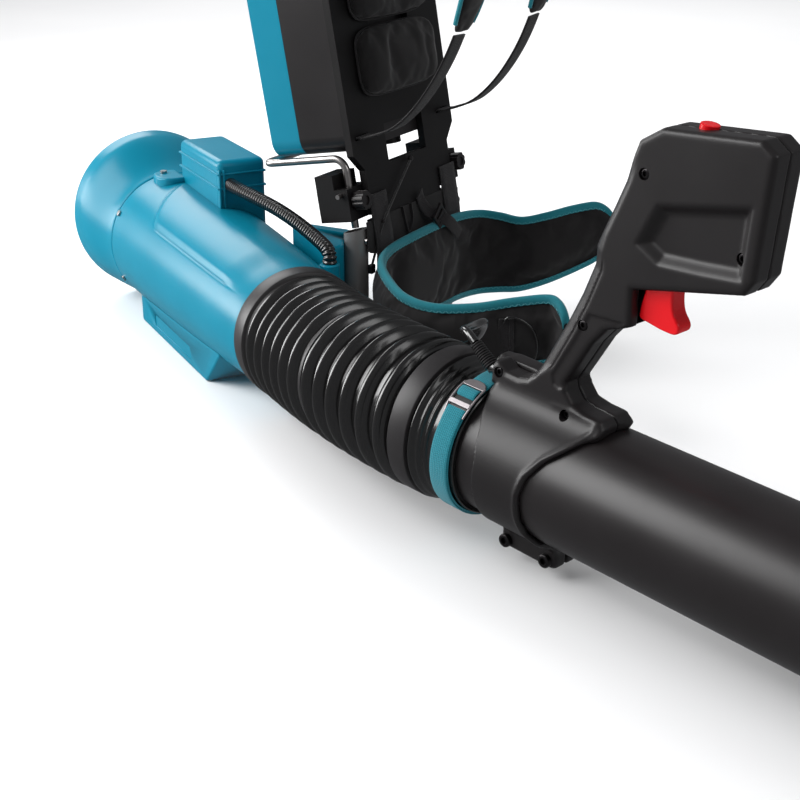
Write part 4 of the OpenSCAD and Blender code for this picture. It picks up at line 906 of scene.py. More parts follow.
def line_distance(line, z, y):
    """Distance from an open line of [z, y] points, positive on its right hand side."""
    best, side = np.full(z.shape, 1e9), np.ones(z.shape)
    for (z0, y0), (z1, y1) in zip(line, line[1:]):
        dz, dy = z1 - z0, y1 - y0
        t = np.clip(((z - z0) * dz + (y - y0) * dy) / (dz * dz + dy * dy), 0, 1)
        d = np.hypot(z - z0 - t * dz, y - y0 - t * dy)
        s = np.sign((z - z0) * dy - (y - y0) * dz)
        side = np.where(d < best, s, side)
        best = np.minimum(best, d)
    return best * side


def joined(a, b, soft):
    """Union of two distance fields with a fillet."""
    h = np.maximum(soft - np.abs(a - b), 0) / soft
    return np.minimum(a, b) - h * h * soft / 4


def shared(a, b, soft):
    """Intersection of two distance fields with a rounded edge."""
    return -joined(-a, -b, soft)


def skin_of(field, low, step):
    """The zero surface of a grid of distances, with a vertex in each cell that it crosses."""
    strides = np.array([field.shape[1] * field.shape[2], field.shape[2], 1])
    cells, marks, flips = [], [], []
    for axis in range(3):
        u, v = np.eye(3, dtype=int)[(axis + 1) % 3], np.eye(3, dtype=int)[(axis + 2) % 3]
        ahead = np.eye(3, dtype=int)[axis]
        first = field[tuple(slice(None, -1) if k == axis else slice(1, -1) for k in range(3))]
        second = field[tuple(slice(1, None) if k == axis else slice(1, -1) for k in range(3))]
        at = np.argwhere((first < 0) != (second < 0)) + 1 - ahead
        a, b = field[tuple(at.T)], field[tuple((at + ahead).T)]
        mark = at + ahead * (a / (a - b))[:, None]
        for shift in (0 * u, u, u + v, v):
            cells.append((at - shift) @ strides)
            marks.append(mark)
        flips.append(a < 0)
    ids, where = np.unique(np.concatenate(cells), return_inverse=True)
    marks = np.concatenate(marks)
    count = np.bincount(where)
    points = np.stack([np.bincount(where, marks[:, k]) / count for k in range(3)], 1)
    faces, done = [], 0
    for flip in flips:
        n = len(flip)
        quads = where[done:done + 4 * n].reshape(4, n).T
        faces.append(np.where(flip[:, None], quads, quads[:, ::-1]))
        done += 4 * n
    return np.asarray(low) + points * step, np.concatenate(faces)


def handle_half(side):
    """Points and faces of one half; side is -1 for the outboard one, 1 for the inboard one."""
    step = 1.25
    out_at = np.arange(-2 * step, 66, step)
    y_at, z_at = np.arange(-82, 309, step), np.arange(6, 255, step)
    out, y, z = (g.astype(np.float32) for g in np.meshgrid(out_at, y_at, z_at, indexing="ij"))
    flat_y, flat_z = np.meshgrid(y_at, z_at, indexing="ij")
    edge = outline_distance(handle_outline, flat_z, flat_y)
    rear = line_distance(block_top[side] + stalk_rear, flat_z, flat_y)
    on_stalk = step_up(flat_y, 86, 100) * (1 - step_up(flat_y, 184, 198))
    band = 4.5 + 6 * step_up(flat_y, 80, 98) * (1 - 0.5 * step_up(flat_y, 190, 215))
    thick = (half_width - 0.5 * np.maximum(0, band - rear) * (1 - step_up(flat_y, 250, 275))
             - on_stalk * 1.0 * np.exp(-((rear - band - 0.8) / 1.0) ** 2)
             - 1.3 * step_up(-outline_distance(grip_inset, flat_z, flat_y), 0, 2.2)
             - 6.5 * step_up(-outline_distance(head_recess, flat_z, flat_y), 0, 10))
    body = shared(edge[None], out - thick[None], 5)
    body = shared(body, -outline_distance(block_cut[side], flat_z, flat_y)[None], 2.5)
    round_tube = np.hypot(out, y)
    inside = outline_distance(saddle_outline, flat_z, flat_y)
    lip = 1.7 * np.exp(-((inside + 3) / 2.2) ** 2) * step_up(flat_z, 84, 92)
    sleeve = shared(round_tube - sleeve_outer - lip[None], inside[None], 1.6)
    lug = shared(shared(out - 15, np.abs(y + 64) - 14.3, 5), np.abs(z - 73.5) - 29.5, 5)
    whole = joined(joined(body, sleeve, 15), lug, 8)
    if side > 0:
        block = shared(np.abs(out - 9) - 6, shared(np.abs(y - 69.5) - 8.5, np.abs(z - 31) - 19, 3), 3)
        whole = joined(whole, block, 2)
    slot = np.maximum(outline_distance(trigger_slot, flat_z, flat_y)[None], out - 8.3)
    whole = shared(np.maximum(shared(whole, sleeve_bore - round_tube, 0.6), -slot),
                   0.1 + 1.4 * (y < -50) - out, 1.4)
    points, faces = skin_of(whole.astype(np.float64), (out_at[0], y_at[0], z_at[0]), step)
    points[:, 0] *= side
    return points, faces if side > 0 else faces[:, ::-1]


def round_cutter(places, radius, low, high):
    """Cylinders along x through [z, y] places of the tube frame, as one hidden piece."""
    def disc(z, y):
        turns = [k * math.tau / 40 for k in range(40)]
        return [(z + radius * math.cos(a), y + radius * math.sin(a)) for a in turns]

    return cutter_of(*gathered(slab(disc(*place), low, high) for place in places), TUBE)


shells = {}
for side, name, hidden in ((-1, "handle_half_right", ["handle_shell_right", "clamp_sleeve"]),
                           (1, "handle_half_left", ["handle_shell_left"])):
    shells[side] = mesh_piece(name, *handle_half(side), black, "wand", TUBE, hidden, 40)
for place, seat in zip(shell_screws, seats):
    cut(shells[-1], round_cutter([place], 4.4, -70, -seat))

# ---------------------------------------------------------------- trigger, lever, button and screws
# The red trigger is a glossy moulding that turns on a pin inside the handle. A black cruise lever
# stands on the inboard side, a red power button on top; dark hex socket screws hold the halves.


def rounded(outline, radius, steps=5):
    """The outline with each corner turned into a short curve."""
    points, made = np.asarray(outline, float), []
    for before, at, after in zip(np.roll(points, 1, 0), points, np.roll(points, -1, 0)):
        a = at + unit(before - at) * min(radius, np.linalg.norm(before - at) * 0.48)
        b = at + unit(after - at) * min(radius, np.linalg.norm(after - at) * 0.48)
        made += [(1 - t) ** 2 * a + 2 * t * (1 - t) * at + t * t * b for t in np.linspace(0, 1, steps)]
    return made


trigger_outline = [(158, 190), (162, 203), (172, 202), (178, 186), (179, 172), (181, 165), (187, 158),
                   (187, 153), (183, 150.5), (172, 151), (151.5, 154.5), (152.5, 166)]
plate("trigger_blade", rounded(trigger_outline, 3.5), -7.9, 7.9, side_view, red, "trigger", TUBE, (3.2, 5, 50),
      ["trigger"])
ease = [(0, 0), (0.35, 0), (0.7, 0.12), (0.92, 0.35), (1, 0.7)]
LEVER = TUBE @ Matrix.Translation((18.4, 250, 200)) @ Matrix.Rotation(math.pi / 2, 4, "Y")
lever_disc = [(0.1, 5.8)] + [(13 * r, 5.8 - 1.6 * d) for r, d in ease] + [(13, 0.6), (12.4, 0), (0.1, 0)]
lathe("lever_hub", lever_disc, 56, black, "cruise_lever", LEVER, ["cruise_lever"])
arm = rounded([(-11, 245), (-11, 255), (-30, 254), (-30, 246)], 3)
plate("lever_arm", [(z + 200, y) for z, y in arm], 19.4, 23.8, side_view, black, "cruise_lever", TUBE, (1.4, 3))
knob = [(0.1, 10)] + [(5.8 * r, 10 - 2.4 * d) for r, d in ease] + [(5.8, 1.2), (5.2, 0.4), (0.1, 0.4)]
lathe("lever_knob", knob, 40, black, "cruise_lever", LEVER, centre=(30, 0))
BUTTON = TUBE @ Matrix.Translation((0, 298.7, 186)) @ Matrix.Rotation(math.radians(-90 + 6), 4, "X")
cap = [(0.1, 2.6)] + [(6.8 * r, 3.6 - 0.9 * d - 0.6 * (1 - r)) for r, d in ease] + [(6.8, -3), (0.1, -3)]
lathe("power_cap", cap, 48, red, "power_button", BUTTON, ["power_button"])

dark_steel = metal("black_screw", "steel", rgb(58, 56, 57), 0.3)
socket_head = [(0.1, 0.7), (1.5, 0.7), (1.6, 2.0), (1.75, 2.2), (2.6, 2.2), (3.1, 1.9), (3.3, 1.3),
               (3.3, 0.02), (0.1, 0.02)]


def screw(name, places, space, scale):
    """Round socket heads in one mesh; each place is a matrix whose z points out of the seat."""
    shape, sides = turned([(r * scale, z * scale) for r, z in socket_head], 36)
    heads = gathered(([place @ Vector(p) for p in shape], sides) for place in places)
    return outward(mesh_piece(name, *heads, dark_steel, "wand", space))


outboard = Matrix.Rotation(-math.pi / 2, 4, "Y")
heads = screw("handle_screw_heads", [Matrix.Translation((-seat, y, z)) @ outboard for (z, y), seat in
                                     zip(shell_screws, seats)], TUBE, 1.15)
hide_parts("handle_screws")
bolt_drop = sleeve_outer + 13
heads = screw("clamp_screw_heads", [Matrix.Translation((sign * 15.2, -bolt_drop, z)) @ Matrix.Rotation(
    sign * math.pi / 2, 4, "Y") for z in (51, 94) for sign in (-1, 1)], TUBE, 1.8)
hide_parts("clamp_screws")

# ---------------------------------------------------------------- cables
# The black lead leaves the handle through a ribbed rubber relief, lies on the hose, held by the
# tie's eye, and enters the barrel beside the conduit's boss.


def along(frame, x, y, z):
    return np.array((frame @ Vector((x, y, z))) / MM)


def beside_hose(t, side, up):
    way = unit(hose_at(t + 0.003) - hose_at(t - 0.003))
    return hose_at(t) + side * unit(np.cross((0, 0, 1), way)) + np.array((0, 0, up))


relief_base, relief_way, relief_len = np.array((-10, 71, 17)), np.array((0, 0.6, -0.8)), 24
relief_end = relief_base + relief_len * relief_way
rear_points = [along(BARREL, 80, 16, -53), along(BARREL, 80, 16, -38), along(BARREL, 80, 17, 0)] + [
    beside_hose(*p) for p in ((0.12, 80, 18), (0.3, 79, 19), (0.44, 78, 20), (0.497, 78, 20))]
front_points = [beside_hose(*p) for p in ((0.503, 78, 20), (0.56, 78, 20), (0.72, 78, 28), (0.86, 72, 48))] + [
    along(TUBE, *p) for p in ((54, 72, -52), (28, 78, -42), relief_end + (10.4, 1.6, -23.4),
                              relief_end + (5, 4.6, -16.5), relief_end + (1.4, 4.1, -8.3),
                              relief_end + 0.4 * relief_way)]
for name, points, bodies in (("cable_rear", rear_points, ("pack", "hose_mid")),
                             ("cable_front", front_points, ("hose_mid", "wand"))):
    line, _ = even_curve(points, 130)
    lead = outward(mesh_piece(name + "_jacket", *loft(tube_rings(line, cable_r - 0.1, 20)),
                              rubber, "", ROW, [name], 50))
    ends = (0.04, 0.46) if name == "cable_rear" else (0.54, 0.96)
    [tuple(MM * hose_at(t)) for t in ends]
    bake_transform(lead)

x_way = Vector(relief_way)
x_side = Vector((1, 0, 0)).cross(x_way).normalized()
relief_turn = Matrix((x_way.cross(x_side), x_side, x_way)).transposed().to_4x4()
RELIEF = TUBE @ Matrix.Translation(relief_base) @ relief_turn
relief_outline, top = [(3.8, -3.0), (4.6, -3.0), (4.9, -1.5)], relief_len - 0.6
relief_count = 11
for k in range(relief_count):
    pitch = top / relief_count
    z, r = k * pitch, 6.4 - 0.13 * k
    relief_outline += [(r - 1.9, z), (r - 1.8, z + 0.30 * pitch), (r - 0.2, z + 0.42 * pitch),
                       (r, z + 0.55 * pitch), (r, z + 0.8 * pitch), (r - 0.3, z + 0.93 * pitch)]
relief_outline += [(4.2, top), (3.8, top)]
# The relief's ribs take the paler satin rubber as a painted sheen: their lighter tone stands in for the light
# that catches their crests.
lathe("relief_ribs", relief_outline, 40, satin_rubber_and_painted_sheen, "wand", RELIEF, ["cable_relief"], 24)
seat_outline = [(0.1, 14.5), (3.4, 14.5), (4.6, 15.6), (5.0, 17), (5.0, 25.8), (0.1, 25.8)]
lathe("relief_seat", seat_outline, 40, rubber, "wand", TUBE, centre=(-10, 71))

# ---------------------------------------------------------------- waist belt
# A padded hip belt of black nylon over foam, open at the front. Teal binding is sewn over both of
# its long edges with zigzag stitching; the cloth is creased where the belt bends.
belt_plan = np.array([(-126, -256, 133, 70), (-113, -233, 136, 64), (-127, -201, 132, 58),
                      (-150, -168, 127, 52), (-165, -130, 125, 46), (-160, -95, 128, 43),
                      (-138, -62, 136, 42), (-112, -39, 143, 42), (-78, -29, 147, 44), (-30, -28, 149, 46),
                      (30, -28, 149, 46), (78, -29, 147, 45), (110, -38, 144, 44), (122, -58, 141, 46),
                      (127, -84, 138, 50), (142, -108, 143, 58), (164, -130, 149, 68), (186, -152, 152, 80),
                      (199, -168, 148, 88)], float)
belt_t = 13
lens = np.array([(-1, 0), (-0.97, 0.42), (-0.86, 0.72), (-0.68, 0.88), (-0.5, 0.96), (-0.25, 1), (0, 1)])
lens = np.concatenate([lens, [(-x, y) for x, y in lens[-2::-1]]])
lens = np.concatenate([lens, [(x, -y) for x, y in lens[-2:0:-1]]])
fabric = woven("padding_cloth", "padding", rgb(16, 14, 15), 0.0011, 0.12, 0.8, 0.00012, 0.3)
binding = woven("binding_tape", "webbing_teal", rgb(15, 104, 115), 0.0013, 0.15, 0.8, 0.0002, 0.25)


def belt_frame(count):
    """Places, outward directions and half heights along the belt, evenly spaced."""
    dense = np.array([curve_at([tuple(p) for p in belt_plan], t) for t in np.linspace(0, 1, 900)])
    done = np.concatenate([[0], np.cumsum(np.linalg.norm(np.diff(dense[:, :2], axis=0), axis=1))])
    share = np.linspace(0, 1, count)
    place = np.stack([np.interp(share * done[-1], done, dense[:, k]) for k in range(4)], 1)
    way = unit(np.gradient(place[:, :2], axis=0))
    out = np.stack([way[:, 1], -way[:, 0], np.zeros(count)], 1)
    end = np.minimum(share, 1 - share) / 0.045
    full = np.where(end < 1, 0.5 + 0.5 * np.sqrt(1 - (1 - np.minimum(end, 1)) ** 2), 1)
    middle = np.stack([place[:, 0], place[:, 1], (place[:, 2] + place[:, 3]) / 2], 1)
    return middle, out, (place[:, 2] - place[:, 3]) / 2 * full, done[-1]


def belt_skin(count, thick, inset):
    middle, out, half, _ = belt_frame(count)
    high = np.maximum(half - inset, 3)[:, None, None] * lens[None, :, :1] * np.array((0, 0, 1))
    return middle[:, None] + high + out[:, None] * lens[None, :, 1:] * thick / 2


def stuffed(piece, pressure, cap, slack, hold, voxel=4.5, frames=20):
    """Lets the cloth of a pad swell and crease; hold says from a point (mm) how firmly it is sewn down."""
    grain = piece.modifiers.new("grain", "REMESH")
    grain.mode, grain.voxel_size, grain.use_smooth_shade = "VOXEL", voxel * MM, True
    settle(piece)
    rest = np.zeros(3 * len(piece.data.vertices), np.float32)
    piece.data.vertices.foreach_get("co", rest)
    rest = rest.reshape(-1, 3)
    cloth = piece.modifiers.new("cloth", "CLOTH")
    cloth.settings.quality, cloth.settings.mass = 5, 0.3
    cloth.settings.tension_stiffness = cloth.settings.compression_stiffness = 18
    cloth.settings.bending_stiffness, cloth.settings.shrink_min = 0.4, -slack
    cloth.settings.use_pressure, cloth.settings.uniform_pressure_force = True, pressure
    cloth.settings.effector_weights.gravity = 0
    cloth.collision_settings.use_collision = False
    group = piece.vertex_groups.new(name="sewn")
    for k, weight in enumerate(hold(rest / MM)):
        group.add([k], float(weight), "REPLACE")
    cloth.settings.vertex_group_mass = "sewn"
    for frame_number in range(1, frames + 1):
        bpy.context.scene.frame_set(frame_number)
    settle(piece)
    bpy.context.scene.frame_set(1)
    moved = np.zeros(3 * len(rest), np.float32)
    piece.data.vertices.foreach_get("co", moved)
    step = moved.reshape(-1, 3) - rest
    far = np.linalg.norm(step, axis=1, keepdims=True)
    rest += step * np.minimum(1, cap * MM / np.maximum(far, 1e-9))
    piece.data.vertices.foreach_set("co", rest.ravel())
    finer = piece.modifiers.new("finer", "SUBSURF")
    finer.levels = finer.render_levels = 1
    settle(piece)
    piece.data.shade_smooth()
    return piece


belt_last = 399
belt_middle, belt_out, belt_half, belt_len = belt_frame(belt_last + 1)


def sewn_belt(points):
    """Firm along the bound edges, free between."""
    near = np.argmin(((points[:, None, :2] - belt_middle[None, ::4, :2]) ** 2).sum(-1), axis=1) * 4
    edge = belt_half[near] - np.abs(points[:, 2] - belt_middle[near, 2])
    return 1 - 0.99 * step_up(edge, 3, 11)


belt = outward(mesh_piece("belt_padding", *loft(belt_skin(260, belt_t - 3.5, 1.5)), fabric, "pack", ROW,
                          ["waist_belt"], 60))
stuffed(belt, 3.2, 5, 0.05, sewn_belt)

tape_shape = np.array([(-3.6, -6.6), (-3.8, -3.2), (-3.2, -0.4), (-1.6, 1.3), (0, 1.7), (1.6, 1.3), (3.2, -0.4),
                       (3.8, -3.2), (3.6, -6.6), (2.4, -6.3), (2.2, -2.6), (0, -0.9), (-2.2, -2.6),
                       (-2.4, -6.3)])
for edge, name in ((1, "belt_binding_top"), (-1, "belt_binding_low")):
    rings = (belt_middle[:, None] + belt_out[:, None] * tape_shape[None, :, :1] * 1.12
             + np.array((0, 0, edge)) * (belt_half[:, None, None] - 0.4 + tape_shape[None, :, 1:]))
    tape = outward(mesh_piece(name, *loft(rings), binding, "pack", ROW, (), 60))
    lay_out(tape, rings, len(tape_shape))
stitch_pitch, stitch_out, stitch_in = 3.2, 4.45, 5.9
stitch_points, stitch_faces = [], []
for edge in (1, -1):
    for face in (1, -1):
        count = int(belt_len / stitch_pitch)
        for k in range(3, count - 3):
            at = k / count * belt_last
            low = int(at)
            f = at - low
            place = belt_middle[low] * (1 - f) + belt_middle[low + 1] * f
            out = belt_out[low]
            half = belt_half[low] * (1 - f) + belt_half[low + 1] * f
            way = unit(belt_middle[low + 1] - belt_middle[low])
            lean_way = unit(way + np.array((0, 0, 0.9 * (-1) ** k)))
            centre = place + out * face * stitch_out + np.array((0, 0, edge * (half - stitch_in)))
            ring = [(lean_way * a * 1.5 + out * face * b * 0.28 + np.cross(lean_way, out) * c * 0.32)
                    for a in (-1, 1) for b, c in ((1, 0), (0, 1), (-1, 0), (0, -1))]
            base = len(stitch_points)
            stitch_points += [centre + r for r in ring]
            stitch_faces += [[base + j, base + (j + 1) % 4, base + 4 + (j + 1) % 4, base + 4 + j]
                             for j in range(4)]
            stitch_faces += [[base + j for j in (3, 2, 1, 0)], [base + j for j in (4, 5, 6, 7)]]
thread = moulded("binding_thread", "webbing_teal", rgb(70, 150, 160), 0.6, 2000)
outward(mesh_piece("binding_stitches", stitch_points, stitch_faces, thread, "pack"))

# ---------------------------------------------------------------- belt webbing
# Black webbing hangs the belt from slots in the board, ends in the halves of a side release buckle
# at the tips, and a thin elastic cord runs from a clip on the leg to the board.
slot_x, slot_w, hanger_y = 58, 34, -21.3


def on_lean(x, y, z):
    return np.array((LEAN @ Vector((x, y, z))) / MM)


for side in (-1, 1):
    x = side * (slot_x + slot_w / 2)
    route = [(x, hanger_y - 0.2, 84), (x, hanger_y - 0.6, 100), (x, hanger_y - 0.4, 125), (x, hanger_y, 150)]
    route += [on_lean(x, -18.1, z) for z in (2, 14, 34)]
    line, _ = even_curve(route, 60)
    ribbon("belt_hanger_" + ("left" if side > 0 else "right"), line, (1.0, 0, 0),
           slot_w - 0.4, 2.6, webbing_black, "pack", ROW, ["belt_webbing"] if side > 0 else ())
for k, (index, sign) in enumerate(((0, -1), (belt_last, 1))):
    place, out = belt_middle[index], belt_out[index]
    ahead = np.array((-sign * out[1], sign * out[0], 0))
    line = np.array([place + ahead * s for s in np.linspace(0.3, 18, 14)])
    ribbon(f"belt_tip_web_{k}", line, (0, 0, 1.0), 26, 2.3, webbing_black, "pack")
    turn = Matrix((Vector(ahead), UP.cross(Vector(ahead)), UP)).transposed().to_4x4()
    TIP = ROW @ Matrix.Translation(place) @ turn
    shell = rounded([(17.2, -17), (36, -17), (43, -10), (43, 10), (36, 17), (17.2, 17)], 4)
    plate(f"belt_buckle_{k}", shell, -4.9, 4.9, front_view, black, "pack", TIP, (1.8, 4))
cord_foot, cord_edge, cord_top = np.array((-95, -17, 129.0)), on_lean(-77, -20.1, 3), on_lean(-4, -20.1, 56)
sag = [cord_foot, cord_edge * 0.5 + cord_foot * 0.5 + (0, -0.5, 0), cord_edge + (0, -1.2, 0),
       (cord_edge + cord_top) / 2 + (0, -1.0, 0), cord_top + (0, -1.4, 0)]
line, _ = even_curve(sag, 90)
cord_cloth = woven("elastic_sleeve", "webbing_black", rgb(24, 23, 24), 0.0009)
cord_rings = tube_rings(line, 1.4, 14)
lay_out(outward(mesh_piece("elastic_cord", *loft(cord_rings), cord_cloth, "pack", ROW, (), 60)), cord_rings, 14)
for name, at, r, h in (("cord_knot", cord_top + (0, -0.8, 0), 3.4, 5),
                       ("cord_bead", cord_edge + (0, -1.0, 0), 2.2, 4)):
    KNOT = ROW @ Matrix.Translation(at) @ Matrix.Rotation(math.pi / 2, 4, "X")
    dome = ([(0.1, h / 2)] + [(r * a, h / 2 * (1 - b)) for a, b in ease]
            + [(r, -h / 4), (r * 0.6, -h / 2), (0.1, -h / 2)])
    lathe(name, dome, 32, black, "pack", KNOT)
hook = rounded([(-99, -19.4), (-91, -19.4), (-91, -13.5), (-99, -13.5)], 1.5)
plate("cord_clip", hook, 120.2, 129.8, floor_view, black, "pack", ROW, (1.0, 3))


def belt_spot(reach, height, lift=0.0):
    """A place on the belt's outer face: millimetres along it from the right tip, and a height."""
    at = int(round(reach / belt_len * belt_last))
    place = belt_middle[at] * (1, 1, 0) + np.array((0, 0, height)) - belt_out[at] * (belt_t / 2 + lift)
    return place, belt_out[at]


tab_reach, tab_top, tab_foot = 67, 114, 62
for k, shift in enumerate((-7.2, 1.2)):
    strip_w = 11 if k == 0 else 4.4
    spots = [belt_spot(tab_reach - shift, z, 1.5 + 0.5 * k) for z in np.linspace(tab_foot, tab_top, 24)]
    line = np.array([p for p, _ in spots])
    sideways = np.array([np.cross(o, (0, 0, 1)) for _, o in spots])
    ribbon(f"belt_tab_{k}", line, sideways, strip_w, 1.8, webbing_black, "pack")
tab_ribs = []
for k in range(4):
    spots = [belt_spot(tab_reach + 7.2 + (k - 1.5) * 2.6, z, 2.5)[0]
             for z in np.linspace(tab_foot + 2, tab_top - 2, 20)]
    tab_ribs.append(loft(tube_rings(np.array(spots), 0.75, 8)))
outward(mesh_piece("belt_tab_ribs", *gathered(tab_ribs), webbing_black, "pack", ROW, (), 60))
loop_spots = [(75, 110, 2.4), (73, 115, 4.0), (66, 117, 5), (53, 112, 5.5), (43, 103, 5.5), (39, 91, 5),
              (39, 80, 4), (42, 70, 2.4)]
line, _ = even_curve([tuple(belt_spot(*spot)[0]) for spot in loop_spots], 70)
outward(mesh_piece("belt_pull_loop", *loft(tube_rings(line, 1.1, 12)), rubber, "pack", ROW, (), 60,
                   slot="webbing_black"))

# A thin black flap hangs from the board's lower edge and closes the gap above the belt
flap_low = np.array([(-103, 146), (-98, 143), (-80, 138), (-50, 136), (0, 135), (50, 136), (84, 138),
                     (92, 142)], float)
flap_x = np.linspace(-103, 92, 80)
foot_z = np.interp(flap_x, flap_low[:, 0], flap_low[:, 1])
rows = [np.stack([flap_x, -17.3 - 0.9 * np.sin(flap_x / 9.0) ** 2 * (1 - share),
                  foot_z + (165 - foot_z) * share], 1)
        for share in np.linspace(0, 1, 16)]
rows += [np.array([on_lean(x, -17.2, z) for x in flap_x]) for z in (3, 8)]


def cloth_of(front, thick):
    """Closed skin of a thin cloth: a grid of points, the same grid set back along y, and a rim."""
    m, n = front.shape[:2]
    i, j = (g.ravel() for g in np.meshgrid(np.arange(m - 1), np.arange(n - 1), indexing="ij"))
    near = np.stack([i * n + j, i * n + j + 1, (i + 1) * n + j + 1, (i + 1) * n + j], 1)
    rim = np.concatenate([np.arange(n), np.arange(1, m) * n + n - 1, (m - 1) * n + np.arange(n - 2, -1, -1),
                          np.arange(m - 2, 0, -1) * n])
    ahead = np.roll(rim, -1)
    far = near[:, ::-1] + m * n
    sides = np.stack([rim, rim + m * n, ahead + m * n, ahead], 1)
    both = np.concatenate([front, front + (0, thick, 0)]).reshape(-1, 3)
    return both, np.concatenate([near, far, sides]).tolist()


flap = outward(mesh_piece("belt_flap", *cloth_of(np.array(rows), 0.9), fabric, "pack", ROW, (), 60))

# Webbing with a ladder lock draws the belt's left part to the board
lift_route = [on_lean(4, -20.6, 16), on_lean(7, -20.4, 6), (14, -24, 164), (27, -31, 155.5), (36, -36.6, 149.5),
              (46, -38.6, 141), (60, -39, 128)]
line, _ = even_curve(lift_route, 60)
lean_over = unit(np.array((0.75, 0, 0.66)))
ribbon("belt_lift_webbing", line, lean_over, 15, 1.6, webbing_black, "pack")
LOCK = ROW @ Matrix.Translation((25, -32.4, 157)) @ Matrix.Rotation(math.radians(48), 4, "Y")
lock_outline = rounded([(-11, -9.5), (11, -9.5), (11, 9.5), (-11, 9.5)], 2.5)
for k, x in enumerate((-8.5, 0.5, 8.5)):
    bar_outline = rounded([(x - 2.3, -9.5), (x + 2.3, -9.5), (x + 2.3, 9.5), (x - 2.3, 9.5)], 1.2)
    plate(f"lift_lock_bar_{k}", bar_outline, -1.7, 1.7, front_view, black, "pack", LOCK, (0.6, 2))
for k, z in enumerate((-8.8, 8.8)):
    side_outline = rounded([(-11, z - 1.6), (11, z - 1.6), (11, z + 1.6), (-11, z + 1.6)], 1.0)
    plate(f"lift_lock_side_{k}", side_outline, -1.4, 1.9, front_view, black, "pack", LOCK, (0.6, 2))
loop_route = [on_lean(-32, -18.6, 9), (-31, -20.4, 162), (-27, -21, 151), (-23, -21, 151), (-16, -20.4, 162),
              on_lean(-14, -18.6, 9)]
line, _ = even_curve(loop_route, 50)
ribbon("board_loop", line, (0, 1.0, 0), 3.6, 1.3, webbing_black, "pack")

# ---------------------------------------------------------------- back pads
# Three sewn cushions of black spacer mesh over foam on the wearer's side of the board.
# They are swollen by simulation, with a piped seam round each.
pad_w, pad_h, pad_t, seam_in, board_front_y = 156, 74.5, 20, 2.4, -16.5


def soft_square(count, half_w, half_h):
    """Places x and z round a rectangle with soft corners."""
    a = np.linspace(0, 2 * np.pi, count, endpoint=False)
    c, s = np.cos(a), np.sin(a)
    return np.sign(c) * np.abs(c) ** 0.4 * half_w, np.sign(s) * np.abs(s) ** 0.4 * half_h


def cushion_skin(w, h, t, count=72):
    x, z = soft_square(count, w / 2, h / 2)
    rings = []
    for k, y in ((0.9, 0), (0.98, 0.12), (1, 0.3), (0.99, 0.6), (0.93, 0.82), (0.82, 0.94), (0.6, 1),
                 (0.2, 1.02)):
        rings.append(np.stack([x * k, np.full(count, -y * t), z * (1 - (1 - k) * w / h * 0.6)], 1))
    return loft(rings)


for k, z in enumerate((166.0, 242.6, 319.2)):
    PAD = LEAN @ Matrix.Translation((0, board_front_y, z))
    pad = outward(mesh_piece(f"back_cushion_{k}", *cushion_skin(pad_w - 5, pad_h - 5, pad_t - 4.5), fabric,
                             "pack", PAD, ["back_pad"] if k == 0 else (), 60))

    def sewn_pad(points, PAD=PAD):
        local = points @ np.array((PAD.inverted().to_3x3() * MM)).T + np.array(PAD.inverted().translation)
        edge = -local[:, 1]
        return 1 - 0.99 * step_up(edge, 2, 7)

    stuffed(pad, 3.5, 5, 0.03, sewn_pad)
    x, seam_z = soft_square(200, pad_w / 2 - seam_in, pad_h / 2 - seam_in)
    seam = np.stack([x, np.full(200, -2.6), seam_z], 1)
    rings = tube_rings(np.concatenate([seam, seam[:1]]), 1.3, 10, (0, 1, 0))[:-1]
    outward(mesh_piece(f"cushion_piping_{k}", *loft(rings, wrap=True), webbing_black, "pack", PAD))

# ---------------------------------------------------------------- shoulder straps
# Curved shoulder pads of the same padded cloth with teal bound edges. Black webbing runs on below
# each to the board's lower edge.
strap_route = [(52, -20, 404), (54, -40, 428), (58, -78, 440), (64, -124, 424), (70, -162, 378),
               (76, -180, 310), (80, -172, 238), (84, -140, 176), (86, -104, 132), (86, -66, 104),
               (85, -30, 95), (85, -16.6, 95)]
pad_share, shoulder_w, shoulder_t = 0.62, 62, 13


def strap_frames(side, low, high, count):
    at = np.linspace(low, high, count)
    route = [(side * x, y, z) for x, y, z in strap_route]
    place = np.array([curve_at(route, t) for t in at])
    ahead = np.array([curve_at(route, min(1, t + 0.004)) for t in at]) - np.array(
        [curve_at(route, max(0, t - 0.004)) for t in at])
    way = unit(ahead)
    face = unit(np.cross((1.0, 0, 0), way))
    return at, place, face, np.cross(way, face)


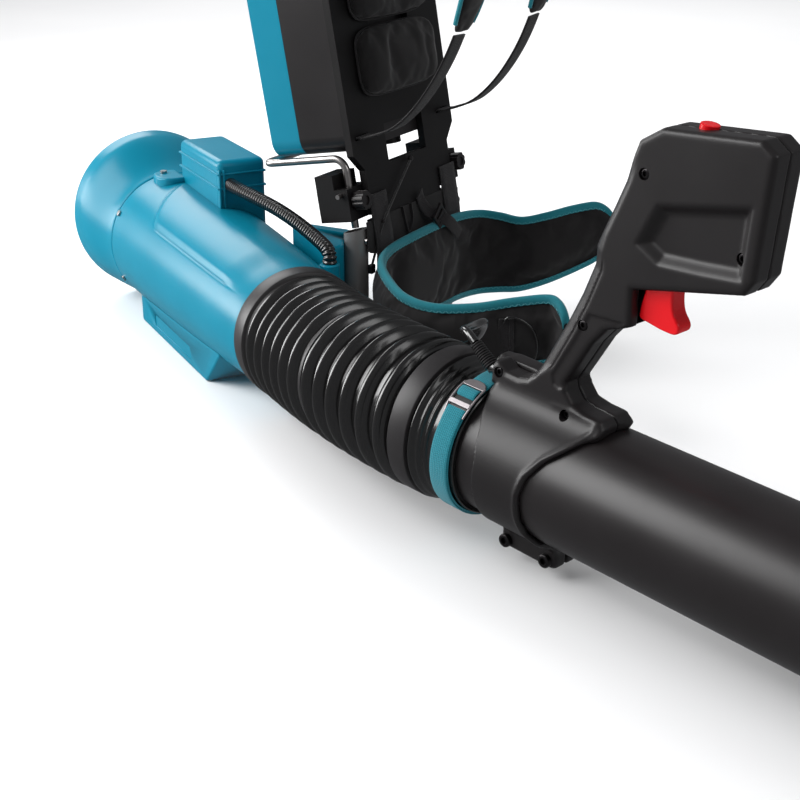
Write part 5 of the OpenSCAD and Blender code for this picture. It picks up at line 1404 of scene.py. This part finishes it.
for side, name in ((-1, "right"), (1, "left")):
    at, place, face, across = strap_frames(side, 0, pad_share, 90)
    end = np.clip(np.minimum(at, pad_share - at) / pad_share * 11, 0, 1)
    full = 0.55 + 0.45 * np.sqrt(1 - (1 - end) ** 2)
    width = shoulder_w * (0.72 + 0.28 * np.sin(np.pi * at / pad_share)) * full
    rings = (place[:, None] + across[:, None] * lens[None, :, :1] * (width / 2 - 1.5)[:, None, None]
             + face[:, None] * lens[None, :, 1:] * (full * (shoulder_t - 4) / 2)[:, None, None])
    pad = outward(mesh_piece(f"shoulder_pad_cloth_{name}", *loft(rings), fabric, "pack", LEAN,
                             [f"shoulder_pad_{name}"], 60))
    world_place = np.array([on_lean(*p) for p in place])

    def sewn_shoulder(points, world_place=world_place, width=width):
        far = ((points[:, None] - world_place[None]) ** 2).sum(-1)
        near = far.argmin(1)
        edge = width[near] / 2 - np.sqrt(far[np.arange(len(points)), near])
        return 1 - 0.99 * step_up(edge, 3, 10)

    stuffed(pad, 3.2, 4.5, 0.03, sewn_shoulder)
    for sign, where in ((1, "inner"), (-1, "outer")):
        edge_line = place + across * (sign * (width / 2 - 0.9))[:, None]
        outward(mesh_piece(f"strap_binding_{name}_{where}",
                           *loft(tube_rings(edge_line[2:-2], 2.2, 12)), binding, "pack", LEAN))
    at, place, face, across = strap_frames(side, pad_share + 0.002, 0.9995, 90)
    ribbon(f"shoulder_web_{name}", place, across, 24.6, 2.3, webbing_black, "pack", LEAN,
           ["shoulder_webbing"] if side > 0 else ())

# ---------------------------------------------------------------- solids
# The frame's tube and rods, brackets, board, power pack and all inner parts show as the solids they
# are: coated and bright steel, black and teal plastic, copper wire and a green circuit board.
for name, node in nodes.items():
    node.data.materials.clear()
    node.data.materials.append(black.material)
    node.data.shade_smooth()
    node.data.set_sharp_from_angle(angle=math.radians(30))
for paint, names in (
        (teal, ("intake_bell", "foot_block", "control_box", "conduit_boss", "bracket_arm", "pack_cover")),
        (tube_black, ("blower_tube", "nozzle", "clamp_sleeve")),
        (rubber, ("bellows_rear", "bellows_front", "cable_rear", "cable_front", "cable_relief", "conduit")),
        (satin_rubber_and_painted_sheen, ("hose_collar", "hose_cuff", "frame_foot")),
        (board_black, ("backboard", "side_bracket_right", "side_bracket_left")),
        (red, ("trigger", "power_button", "pack_button")),
        (board_green, ("motor_controller",)), (copper_wire, ("motor_windings",)),
        (frame_coat, ("lower_frame_tube", "strap_buckle", "motor_can", "rotor_core")),
        (bright_steel, ("shaft_bearings", "motor_shaft", "housing_screws", "frame_screws", "cradle_rod",
                        "lock_pins", "clamp_screws", "handle_screws"))):
    for name in names:
        nodes[name].data.materials[0] = paint.material
